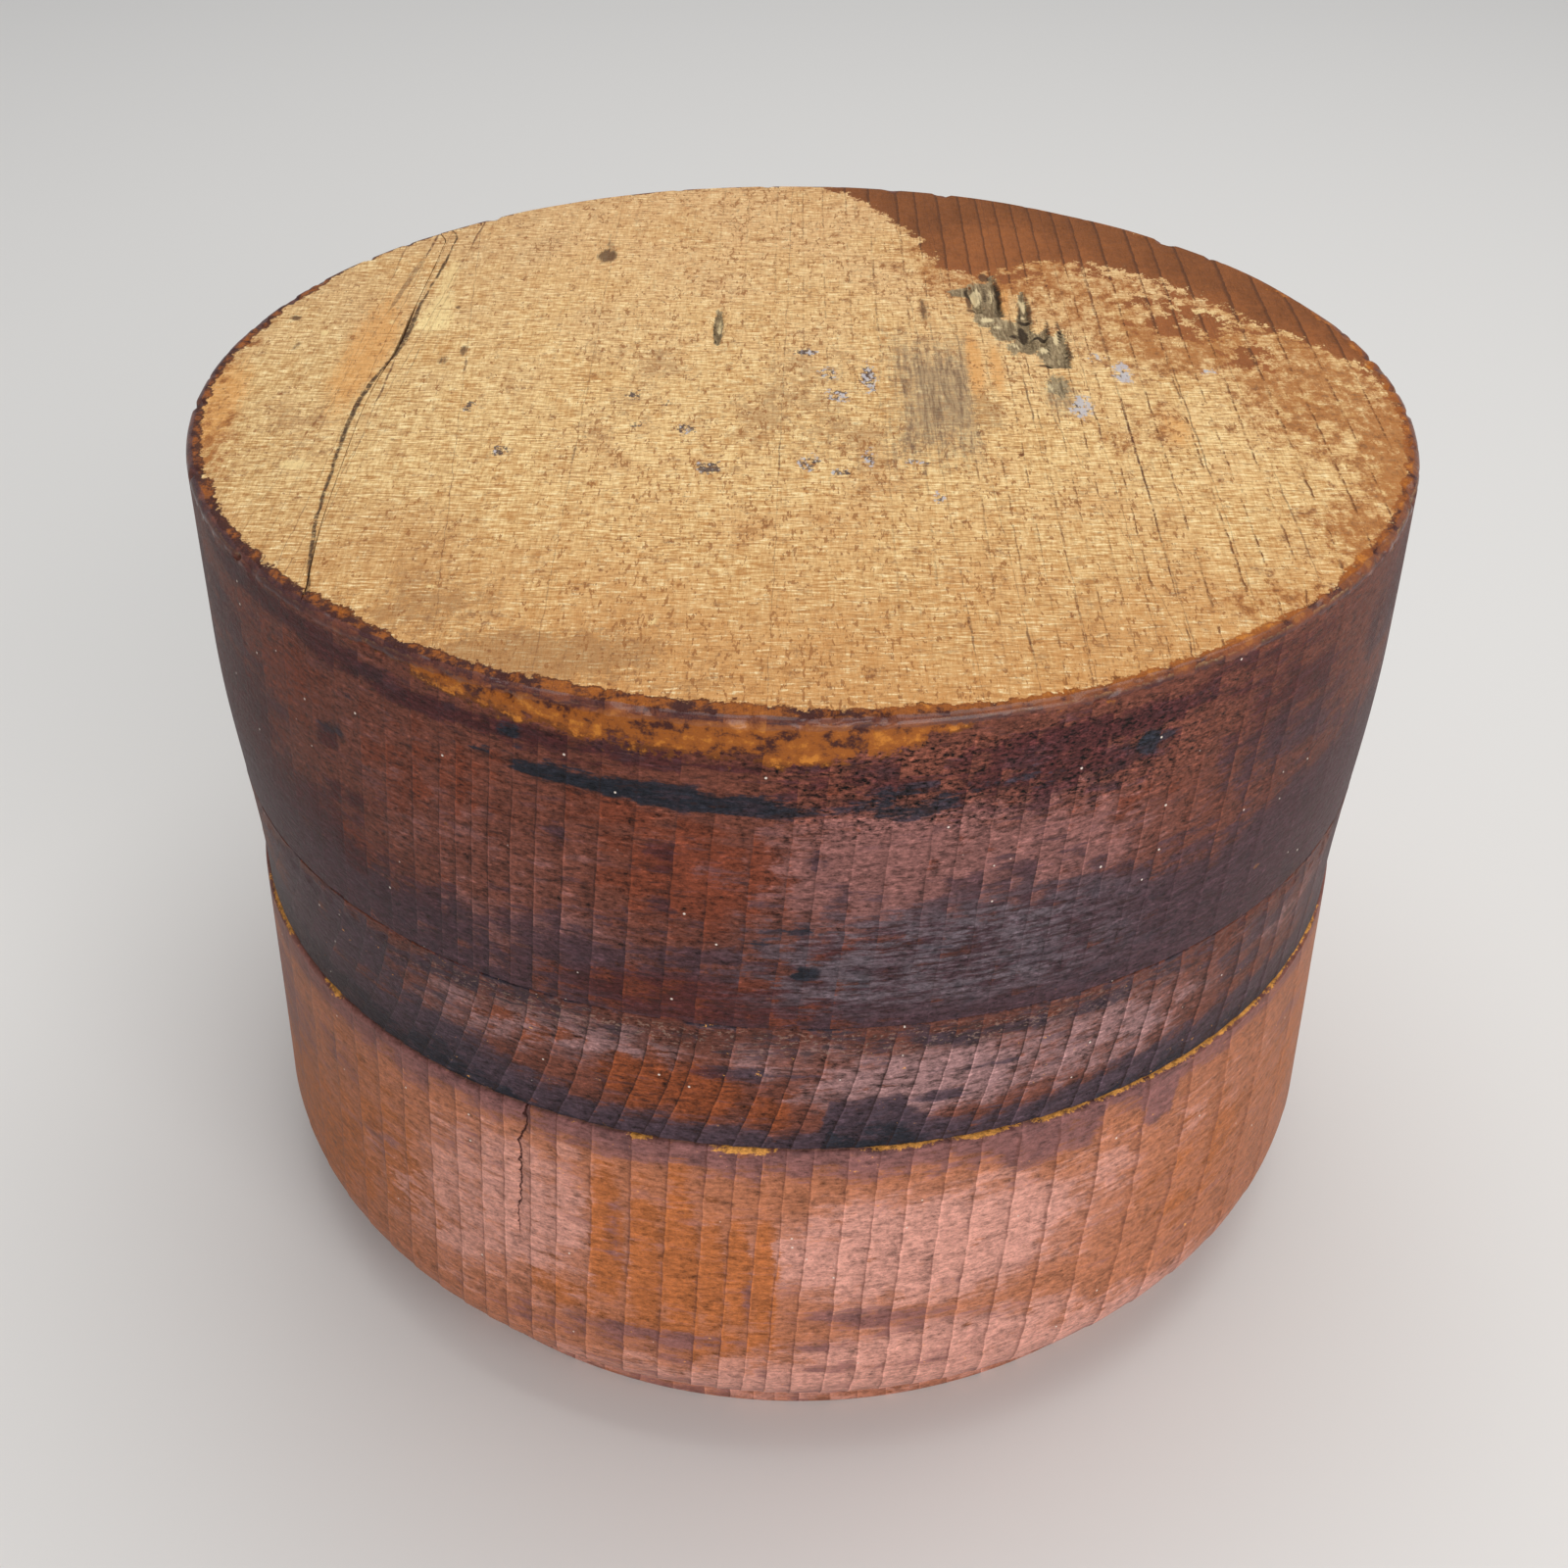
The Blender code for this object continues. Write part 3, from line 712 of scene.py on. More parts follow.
def block_fields(points):
    """The named fields that the block's material reads, and the points after the relief: each is
    worked out from a point's own place."""
    x, y, z = points.T
    radius = np.hypot(x, y)
    angle = azimuth(points)
    outside = lid_radius(z) - radius
    below = TOP_Z - z
    on_top = ease(below, 1.0, 0.3) * ease(outside, -0.2, 0.6)
    on_side = 1 - on_top
    is_top = on_top > 0.5
    ring = ring_number(x - 0.08 * (z - TOP_Z) + 0.35 * ring_wander(points, 11), BLOCK_RINGS)

    # varnish that came over the edge
    clockwise = (180 - angle) % 360
    spill = np.maximum(edge(radius - along(clockwise, SPILL_EDGE), 9), spots(x, y, THICK)) * on_top
    rim = edge(along(angle, RIM_WIDTH, 360) - (TOP_RADIUS - radius), 2.6) * on_top
    amber_side = edge(z - along(angle, AMBER_FOOT, 360), 5) * on_side
    arris = np.where(is_top, ease(TOP_RADIUS - radius, 1.7, 0.4), ease(below, 2.1, 0.5))

    # torn pits, the smudge beside them and the slit
    jagged = 0.45 * noise(points, (0.9, 2.6, 5), 17, 2)
    tears = tear_depth(x + jagged, y + 3 * jagged) * on_top
    smudge_edges = [edge(x - 14, 8), edge(25.2 - x, 1.6), edge(y + 19, 22), edge(17 - y, 22)]
    smudge = np.maximum(np.minimum.reduce(smudge_edges), 0.7 * spot(x, y, 38.4, -1, 2.4, 7)) * on_top
    torn = np.maximum(ease(tears, 0.02, 0.12), spots(x, y, TORN_FLATS))
    torn = np.maximum(torn, spot(x, y, *SLIT)) * on_top
    # painted shadows in the torn pits and painted highlights on their splinters, with paler wood
    shadows = np.maximum(spots(x + jagged * 0.6, y, TORN_SHADOWS), 0.5 * ease(tears, 0.4, 0.9))
    pale_and_glints = np.maximum(spots(x, y, PALE_TOP), spots(x + jagged * 0.6, y, TORN_GLINTS))

    # stains of the side
    ink_low = along(angle, [row[:2] for row in INK_STREAK])
    ink_high = along(angle, [row[::2] for row in INK_STREAK])
    streak = np.minimum(edge(z - ink_low, 1.8), edge(ink_high - z, 4)) * (np.abs(angle) < 40)
    streak = streak * along(angle, ((-30, 1), (-4, 1), (2, 0.6), (30, 0.5)))
    streak = np.maximum(streak, turned_spots(angle, z, INK_BLOTS))
    streak = np.maximum(streak, 0.5 * layer_dirt(angle) * edge(BLOCK_BOTTOM + 0.3 - z, 1.6))
    dark = edge(along(angle, DARK_TOP, 360) - z, 14) * along(angle, DARK_SHARE, 360)
    dark = np.maximum(dark, turned_spots(angle, z, DARK_BLOTS)) * on_side
    ring_blots = turned_spots(angle, z, RING_BLOTS)

    fields = {
        "ring": ring, "on_top": on_top, "inside": ease(outside, 2.5, 4) * ease(below, 2.5, 4),
        "spill": spill, "amber": np.maximum(rim, amber_side), "arris": arris,
        "stain": spots(x, y, THIN) * on_top, "grime": spots(x, y, GRIME) * on_top,
        "torn": torn, "smudge": smudge,
        "ink": np.where(is_top, spots(x, y, INK_SPECKS), streak),
        # dark: on top, knots and the painted shadows of the torn pits
        "dark": np.where(is_top, np.maximum(spots(x, y, KNOTS), shadows), dark),
        # pink: on top, paler wood and the painted highlights of the torn splinters; on the side, pale zones
        # that are partly painted sheen
        "pink": np.where(is_top, pale_and_glints, turned_spots(angle, z, PALE_BLOTS)),
        "warm": np.where(is_top, spots(x, y, ORANGE_TOP), turned_spots(angle, z, WARM_BLOTS)),
        "relief": (0.18 + 0.82 * ring_blots) * on_side,
        "joint": x - joint_line(y), "dirt": along(y, JOINT_DIRT),
    }
    slit = ease(spot(x, y, *SLIT), 0.45, 0.8) * on_top
    return fields, block_relief(points, ring, ring_blots, tears, TORN_DEPTH * torn + SLIT_DEPTH * slit)


def block_relief(points, ring, ring_blots, tears, torn_depth):
    """The block's points moved: the side inwards by its ring steps, hollows and knocks, the top face
    down by its torn parts, hollows and worn rim, and both boards along x to the bent glue line."""
    settings = bpy.context.scene.turned_box_shape
    x, y, z = points.T
    outside = lid_radius(z) - np.hypot(x, y)
    below = TOP_Z - z
    knocks = ease(noise(points, (3.2, 3.2, 1.6), 7, 2), 0.12, 0.75)
    wear = settings.arris_wear / MM * knocks * ease(below, 3.2, 0.4) * ease(outside, 4, 0.8)

    step_height = settings.ring_step / MM * (0.2 + 0.8 * ring_blots) * ease(below, 0.5, 4)
    side_depth = ring_relief(ring, x, y, step_height) + hollows(points, 3) + wear
    moved = push_in(points, side_depth * ease(outside, 6, 1))

    top_depth = TOP_HOLLOWS * (0.5 + 0.5 * noise(points, (30, 60, 30), 9, 2))
    chewed = 0.75 + 0.35 * noise(points, (0.9, 2.5, 5), 13, 2)
    top_depth += settings.tear_depth / MM * tears * chewed + torn_depth + wear * 0.8
    rim_drop = RIM_DROP * ease(TOP_RADIUS - np.hypot(x, y), 6, 0)
    top_depth += rim_drop * (0.6 + 0.4 * noise(points, (12, 12, 12), 15, 2))
    moved[:, 2] -= top_depth * ease(below, 6, 1) * ease(outside, -1, 0.1)

    away = np.abs(x - JOINT_X)
    bow = (joint_line(y) - JOINT_X) * ease(away, 14, 0.5) * ease(below, 12, 1)
    moved[:, 0] += bow * ease(outside, 0, 4)
    opening = (along(y, JOINT_GAP) - JOINT_CLOSED) * ease(below, 4, 1) * ease(outside, 0, 2)
    change = JOINT_CLOSED + opening - (JOINT_RIGHT - JOINT_LEFT)
    moved[:, 0] += np.sign(x - JOINT_X) * 0.5 * change * ease(away, 3, 0.2)
    return moved


# Node graphs

# How much a noise node's output is widened, and the varnish's and the wood's specular level
NOISE_GAIN = 8.0
SPECULAR_LEVEL = 0.13

Rings = namedtuple("Rings", "number share dark_line light_line")
Palette = namedtuple("Palette", "pale brown purple maroon warm line")


class Field:
    """One output of a node graph, with arithmetic that makes Math nodes."""

    def __init__(self, graph, socket):
        self.graph = graph
        self.socket = socket

    def __add__(self, other):
        return self.graph.math("ADD", self, other)

    def __sub__(self, other):
        return self.graph.math("SUBTRACT", self, other)

    def __rsub__(self, other):
        return self.graph.math("SUBTRACT", other, self)

    def __mul__(self, other):
        return self.graph.math("MULTIPLY", self, other)

    __radd__ = __add__
    __rmul__ = __mul__

    def step(self, start, stop):
        """0 up to start and 1 from stop, with a smooth step between."""
        return self.graph.step(self, start, stop)

    def window(self, start, full, fade, stop):
        """0 up to start, 1 from full to fade and 0 again from stop."""
        return self.step(start, full) * self.step(stop, fade)


class Graph:
    """A material's node graph."""

    def __init__(self, name):
        self.material = bpy.data.materials.new(name)
        self.material.use_nodes = True
        self.nodes = self.material.node_tree.nodes
        self.links = self.material.node_tree.links
        self.shader = self.nodes["Principled BSDF"]
        self.shader.inputs["Specular IOR Level"].default_value = SPECULAR_LEVEL
        coordinates = self.nodes.new("ShaderNodeTexCoord").outputs["Object"]
        self.place = self.scaled(Field(self, coordinates), (1 / MM, 1 / MM, 1 / MM))
        separate = self.nodes.new("ShaderNodeSeparateXYZ")
        self.put(separate.inputs[0], self.place)
        self.x, self.y, self.z = (Field(self, output) for output in separate.outputs)

    def put(self, socket, value):
        """Links a field to a socket, or sets the socket to a plain value."""
        if isinstance(value, Field):
            self.links.new(value.socket, socket)
        elif socket.type == "RGBA" and len(value) == 3:
            socket.default_value = (*value, 1)
        else:
            socket.default_value = value

    def math(self, operation, *values):
        """A Math node."""
        node = self.nodes.new("ShaderNodeMath")
        node.operation = operation
        for socket, value in zip(node.inputs, values):
            self.put(socket, value)
        return Field(self, node.outputs[0])

    def scaled(self, vector, factors):
        """A vector with each axis multiplied."""
        node = self.nodes.new("ShaderNodeVectorMath")
        node.operation = "MULTIPLY"
        self.put(node.inputs[0], vector)
        self.put(node.inputs[1], factors)
        return Field(self, node.outputs[0])

    def attribute(self, name):
        """A field of the mesh."""
        node = self.nodes.new("ShaderNodeAttribute")
        node.attribute_name = name
        return Field(self, node.outputs["Fac"])

    def step(self, value, start, stop):
        """A smooth step from 0 at start to 1 at stop."""
        node = self.nodes.new("ShaderNodeMapRange")
        node.interpolation_type = "SMOOTHSTEP"
        self.put(node.inputs["Value"], value)
        self.put(node.inputs["From Min"], start)
        self.put(node.inputs["From Max"], stop)
        return Field(self, node.outputs[0])

    def centred(self, node):
        """A noise node's output, widened from a narrow range round 0.5 to one round 0."""
        return self.math("MULTIPLY_ADD", Field(self, node.outputs["Fac"]), NOISE_GAIN, -NOISE_GAIN / 2)

    def grain(self, size, detail=2.0, rough=0.5, seed=0.0):
        """Noise, mostly from -1 to 1, whose cells have the given sizes along x, y and z."""
        node = self.nodes.new("ShaderNodeTexNoise")
        shift = self.nodes.new("ShaderNodeVectorMath")
        shift.operation = "ADD"
        self.put(shift.inputs[0], self.scaled(self.place, [1 / s for s in size]))
        self.put(shift.inputs[1], (seed * 7.31, seed * 3.17, seed * 5.53))
        self.put(node.inputs["Vector"], Field(self, shift.outputs[0]))
        self.put(node.inputs["Scale"], 1.0)
        self.put(node.inputs["Detail"], detail)
        self.put(node.inputs["Roughness"], rough)
        return self.centred(node)

    def cells(self, ring, size, seed=0.0):
        """Noise, mostly from -1 to 1, that is even across each ring and changes along z."""
        node = self.nodes.new("ShaderNodeTexNoise")
        combine = self.nodes.new("ShaderNodeCombineXYZ")
        self.put(combine.inputs[0], self.math("FLOOR", ring) * 7.31)
        self.put(combine.inputs[1], self.z * (1 / size) + seed)
        node.noise_dimensions = "2D"
        self.put(node.inputs["Vector"], Field(self, combine.outputs[0]))
        self.put(node.inputs["Scale"], 1.0)
        self.put(node.inputs["Detail"], 3.0)
        self.put(node.inputs["Roughness"], 0.65)
        return self.centred(node)

    def specks(self, size, radius, share, seed=0.0):
        """Dots of a radius in millimetres, in a share of the cells of a size in millimetres."""
        node = self.nodes.new("ShaderNodeTexVoronoi")
        node.inputs["Scale"].default_value = 1.0
        self.put(node.inputs["Vector"], self.scaled(self.place, (1 / size,) * 3))
        dot = Field(self, node.outputs["Distance"]).step(radius / size * 1.3, radius / size * 0.7)
        separate = self.nodes.new("ShaderNodeSeparateXYZ")
        self.put(separate.inputs[0], Field(self, node.outputs["Color"]))
        pick = self.math("FRACT", Field(self, separate.outputs[0]) + seed)
        return dot * self.math("LESS_THAN", pick, share)

    def mix(self, first, second, share):
        """A blend of two colours."""
        node = self.nodes.new("ShaderNodeMix")
        node.data_type = "RGBA"
        self.put(node.inputs[0], share)
        self.put(node.inputs[6], first)
        self.put(node.inputs[7], second)
        return Field(self, node.outputs[2])

    def layers(self, colour, rows):
        """A colour under others, each of them three display values and a share."""
        for display, share in rows:
            colour = self.mix(colour, srgb(*display), share)
        return colour

    def shade(self, colour, factor):
        """A colour made darker or lighter by a factor."""
        node = self.nodes.new("ShaderNodeVectorMath")
        node.operation = "SCALE"
        self.put(node.inputs[0], colour)
        self.put(node.inputs["Scale"], factor)
        return Field(self, node.outputs[0])

    def finish(self, colour, roughness, height):
        """Links colour, roughness and a height in millimetres to the shader."""
        self.put(self.shader.inputs["Base Color"], colour)
        self.put(self.shader.inputs["Roughness"], roughness)
        bump = self.nodes.new("ShaderNodeBump")
        bump.inputs["Distance"].default_value = MM
        self.put(bump.inputs["Height"], height)
        self.put(self.shader.inputs["Normal"], Field(self, bump.outputs[0]))
        return self.material


def ring_shares(g):
    """The ring number with a little waviness, how far across its ring a point lies, and the dark and
    the light line where one ring meets the next. On the varnished side they are the painted shadow and
    the painted highlight of each ring's step; on bare wood the dark line is the ring's own line."""
    number = g.attribute("ring") + g.grain((3.5, 3.5, 3), 3, 0.6, 3) * 0.018
    share = g.math("FRACT", number)
    worn = g.grain((9, 9, 5), 3, 0.65, 4)
    dark_line = share.step(0.9, 0.97) * worn.step(-0.7, 0.5)
    light_line = share.step(0.1, 0.02) * worn.step(0.7, -0.6)
    return Rings(number, share, dark_line, light_line)


def fine_grain(g):
    """Fine noise that the varnish and the turned wood share."""
    return g.grain((1.3, 1.3, 0.7), 4, 0.8, 22)


def crack_line(g, drift, x0, y0, x1, y1, half_width, strength):
    """A crack along the grain of the top face: a straight line in plan, tapering at both ends."""
    share = g.math("MULTIPLY_ADD", g.y, 1 / (y1 - y0), -y0 / (y1 - y0))
    across = g.math("ABSOLUTE", g.x - (share * (x1 - x0) + x0) + drift)
    taper = share.step(0.0, 0.25) * share.step(1.0, 0.7) * half_width
    return (taper - across).step(-0.12, 0.06) * strength


def ragged(zone, soft, wear):
    """The share of a zone that shows: one part fades softly over the zone's edge, and the rest breaks
    up into ragged islands."""
    return (zone + wear * 0.12).step(0.12, 0.88) * soft + (zone + wear * 0.4).step(0.4, 0.6) * (1 - soft)


def shadow_colour(g, palette, warm, cells, streaks, patches):
    """The dark zones' colour: purple, red in the warm parts, high up and at the left, slate grey low on
    the block's front and blue-black here and there."""
    left = g.z.step(92, 104) * g.x.step(-25, -50)
    reddened = g.math("MAXIMUM", g.math("MAXIMUM", warm.step(0.25, 0.8), g.z.step(114, 124)), left)
    shadow = g.mix(palette.purple, palette.maroon, reddened)
    slate = g.z.window(86, 93, 103, 110) * g.x.window(-14, 2, 26, 52)
    shadow = g.mix(shadow, srgb(102, 92, 98), slate * (streaks * 1.2 + patches * 0.3).step(-1.0, 1.0) * 0.8)
    ink = bpy.context.scene.turned_box_colours.ink
    return g.mix(shadow, ink, (patches - cells * 0.3).step(0.2, 1.5) * 0.4)


def varnished_side(g, palette, rings, grit_share):
    """Old varnish on end grain: colour zones whose edges break up into level streaks and step at the
    growth rings, pale zones that are partly painted sheen, a tone that falls across each ring, partly
    the ring's own colour and partly painted shade of its step, a painted highlight and a painted shadow
    at each ring's step, painted shade on the flanks, grit, level dashes, pits and dust. Returns the
    colour, the ragged noise and the fine noise."""
    cells = g.cells(rings.number, 3.4)
    streaks = g.grain((5, 5, 0.75), 4, 0.7, 21)
    fine = fine_grain(g)
    patches = g.grain((7, 7, 4.5), 4, 0.7, 23)
    peel = g.grain((1.4, 1.4, 1.8), 3, 0.6, 32)
    grit = g.grain((0.8, 0.8, 0.45), 2, 0.7, 33)
    dashes = g.grain((3.0, 3.0, 0.7), 3, 0.65, 34)
    first = cells * 0.45 + streaks * 0.35 + patches * 0.4 + fine * 0.25
    second = patches * 0.5 - cells * 0.35 + streaks * 0.4 - fine * 0.2
    # relief: how strongly the painted shade and highlights of the ring steps and the peel show
    relief = g.attribute("relief")
    warm = g.attribute("warm")
    late = rings.share - 0.5

    # colour zones, one over the other
    # pale zones: worn varnish with a painted sheen in it
    side = g.mix(palette.brown, palette.pale, ragged(g.attribute("pink") - late * 0.1, 0.6, second))
    side = g.mix(side, palette.warm, ragged(warm - late * 0.25, 0.35, first * -1.0))
    shadow = shadow_colour(g, palette, warm, cells, streaks, patches)
    side = g.mix(side, shadow, ragged(g.attribute("dark") + late * 0.18, 0.4, first))
    ink_share = ragged(g.attribute("ink"), 0.1, first * 0.6 + second * 0.2)
    side = g.mix(side, bpy.context.scene.turned_box_colours.ink, ink_share)
    bands = (streaks * 0.9 + cells * 0.45 + patches * 0.35).step(0.35, 1.3)
    side = g.mix(side, palette.purple, bands * 0.38)

    # tone: lighter at the start of a ring than at its end, partly the ring's own colour and partly painted
    # shade of its step, and gritty
    rough = g.z.window(115, 121, 129, 133) * g.x.window(-12, 5, 40, 62) + 0.6
    tone = late * relief * (-0.26 - grit_share * g.z.step(86, 83) * 0.14 - grit_share * 0.06)
    tone = tone + streaks * 0.16 + fine * 0.34 + patches * 0.07 + cells * 0.05 + 1.0
    tone = tone + grit * rough * (grit_share * 0.42) + peel * relief * 0.1
    # the light line is a painted highlight on the raised edge at the start of each ring
    side = g.shade(side, tone + rings.light_line * relief * (0.25 + grit_share * 0.3))

    # level dashes, dark and light, crumbs along the layer line, and painted shadow lines at the ring steps,
    # painted shade on the flanks, pits and dust
    side = g.mix(side, palette.line, (dashes + grit * 0.25).step(0.5, 1.3) * (grit_share * 0.62))
    side = g.mix(side, g.shade(side, 1.6), (grit * 0.3 - dashes).step(0.7, 1.5) * (grit_share * 0.6))
    seam_zone = g.z.window(79.5, 81.5, 84.2, 86) * g.x.window(-62, -38, 30, 58) * grit_share
    side = g.layers(side, (((54, 40, 38), (streaks + grit * 0.5).step(0.1, 0.9) * seam_zone * 0.75),
                           ((150, 122, 108), (grit - streaks * 0.5).step(0.7, 1.2) * seam_zone * 0.6)))
    # the dark line is the painted shadow of the step at the end of each ring
    side = g.mix(side, palette.line, rings.dark_line * relief * 0.6)
    # painted shade: the side darkens towards its left and right flanks
    flank_shade = g.math("ABSOLUTE", g.x).step(44, 82)
    side = g.mix(side, g.shade(palette.warm, 0.45), flank_shade * 0.3)
    side = g.mix(side, palette.line, (fine - streaks * 0.35).step(0.9, 1.4) * 0.6)
    dust = g.specks(2.0, 0.17, 0.1, 0.2)
    side = g.mix(side, srgb(240, 226, 212), dust * 0.9)
    return side, first, fine


def inside_wood(g, rings):
    """Bare turned wood: ring lines and a tone that falls across each ring."""
    turned_colour = bpy.context.scene.turned_box_colours.turned
    marks = g.grain((7, 7, 0.5), 3, 0.7, 31)
    shaded = g.shade(turned_colour, (0.5 - rings.share) * 0.14 + (marks * 0.07 + 0.96))
    return g.mix(shaded, g.shade(turned_colour, 0.62), rings.dark_line * 0.6)


def bare_face(g, rings, mottle, fibre, brush, broad):
    """The bare top face: fibres, level strokes of the sanding, flecks and drifting tones, then varnish
    that has sunk in and the smudge beside the torn pits. Returns the colour and the ragged noise."""
    c = bpy.context.scene.turned_box_colours
    texture = mottle * 0.14 + fibre * 0.3 + brush * 0.75 + broad * 0.25
    bare = g.mix(c.bare_dark, c.bare_light, texture.step(-1.2, 1.0))
    bare = g.layers(bare, (((212, 162, 118), (broad * 0.3 + g.y * 0.011).step(-0.4, 1.2) * 0.5),
                           ((204, 144, 84), (broad * 0.4 - g.y * 0.02).step(0.2, 1.9) * 0.75)))
    left_shade = (broad * 0.3 - g.x * 0.02).step(0.4, 1.6)
    bare = g.shade(bare, (brush + fibre * 0.6) * (left_shade * 0.05 + 0.02) - left_shade * 0.11 + 1.02)
    patch = g.x.window(-61.9, -61.3, -56.2, -55.0) * g.y.window(20.5, 20.9, 24, 30)
    strokes = g.grain((3.2, 0.55, 1.0), 2, 0.6, 14)
    flecks = g.grain((0.6, 1.9, 0.6), 2, 0.6, 7)
    worn = g.grain((3.4, 2.0, 1.8), 3, 0.7, 10)
    middle_area = g.math("ABSOLUTE", g.x - 8).step(75, 20)
    grime = ragged(g.attribute("grime"), 0.35, mottle * 0.8 + broad * 0.7)
    bare = g.layers(bare, (
        ((255, 236, 186), (brush + fibre * 0.35).step(0.75, 1.2) * 0.7),
        ((226, 160, 88), ragged(g.attribute("warm"), 0.6, fibre * 0.6) * 0.65),
        ((160, 118, 78), grime * 0.55),
        # paler wood, and the painted highlights of the torn splinters
        ((248, 220, 158), ragged(g.attribute("pink"), 0.6, fibre * 0.3) * 0.75),
        ((255, 228, 164), patch * (fibre + mottle).step(-1.6, 0.4) * 0.75),
        ((176, 124, 72), (strokes + broad * 0.2).step(0.8, 1.4) * 0.6),
        ((156, 102, 56), (flecks + middle_area * 0.4 + broad * 0.25).step(1.25, 1.6) * 0.75),
        ((166, 114, 66), (worn + middle_area * 0.5).step(1.0, 1.8) * 0.5)))

    rag = mottle * 0.5 + g.grain((2.6, 3.8, 2.6), 4, 0.72, 8) * 0.75 + brush * 0.15
    sunk = (g.attribute("stain") * 0.95 + rag * 0.46).step(0.18, 0.85)
    bare = g.mix(bare, g.mix(c.stain, c.spill, rag.step(0.2, 1.4)), sunk * 0.88)
    line_share = rings.dark_line * (g.x + g.y * 0.2).step(-25, 45) * mottle.step(-1.0, 0.4)
    bare = g.mix(bare, srgb(118, 74, 42), line_share)
    strands = g.grain((0.8, 9, 0.8), 3, 0.7, 9)
    smudge = (g.attribute("smudge") + strands * 0.18 + mottle * 0.2).step(0.05, 1.1)
    smudge_colour = g.mix(srgb(166, 140, 108), srgb(112, 90, 74), strands.step(-0.4, 1.3))
    return g.mix(bare, smudge_colour, smudge * 0.8), rag


def top_marks(g, colour, mottle, fibre):
    """Knots, torn wood with painted shadows and painted highlights, ink specks with painted glints, cracks
    and the glue line over the top face's colour. Returns the colour and the share of the glue line."""
    dark = g.attribute("dark")
    # brown knots, and the painted shadows of the torn pits
    colour = g.mix(colour, srgb(92, 64, 46), (dark + fibre * 0.15).step(0.3, 0.85) * 0.85)
    torn_colour = g.mix(srgb(104, 92, 70), srgb(176, 158, 124), (fibre * 0.6 + mottle * 0.4).step(-0.7, 0.9))
    # painted highlights on the splinters and painted shadows in the pits
    torn_colour = g.layers(torn_colour, (
        ((236, 216, 170), (g.attribute("pink") + fibre * 0.2).step(0.4, 0.9) * 0.85),
        ((36, 28, 22), (dark + fibre * 0.2).step(0.35, 0.8) * 0.92)))
    torn = (g.attribute("torn") + mottle * 0.14).step(0.42, 0.58)
    colour = g.mix(colour, torn_colour, torn * 0.88)

    # the ink specks' light parts are painted glints, more of them towards the right
    glint = g.grain((0.7, 1.3, 0.7), 2, 0.6, 13)
    ink_colour = g.mix(srgb(66, 58, 66), srgb(196, 194, 200), (glint + g.x * 0.022).step(0.3, 0.9))
    ink = g.attribute("ink")
    ink_speck = (ink * 1.1 + glint * 0.25 + mottle * 0.45).step(0.6, 0.95) * ink.step(0.05, 0.3)
    colour = g.mix(colour, ink_colour, ink_speck * 0.85)

    sway = g.grain((2.4, 5, 2.4), 2, 0.6, 12) * 0.1
    cracks = crack_line(g, sway, *CRACKS[0])
    for crack in CRACKS[1:]:
        cracks = g.math("MAXIMUM", cracks, crack_line(g, sway, *crack))
    joint = g.math("ABSOLUTE", g.attribute("joint") + sway * 0.7)
    joint_dark = (g.attribute("dirt") - joint + fibre * 0.08).step(-0.16, 0.14) * mottle.step(-1.6, 0.2)
    colour = g.layers(colour, (((92, 58, 44), cracks * mottle.step(-1.4, 0.4)),
                               ((66, 48, 38), joint_dark * 0.9)))
    return colour, joint_dark


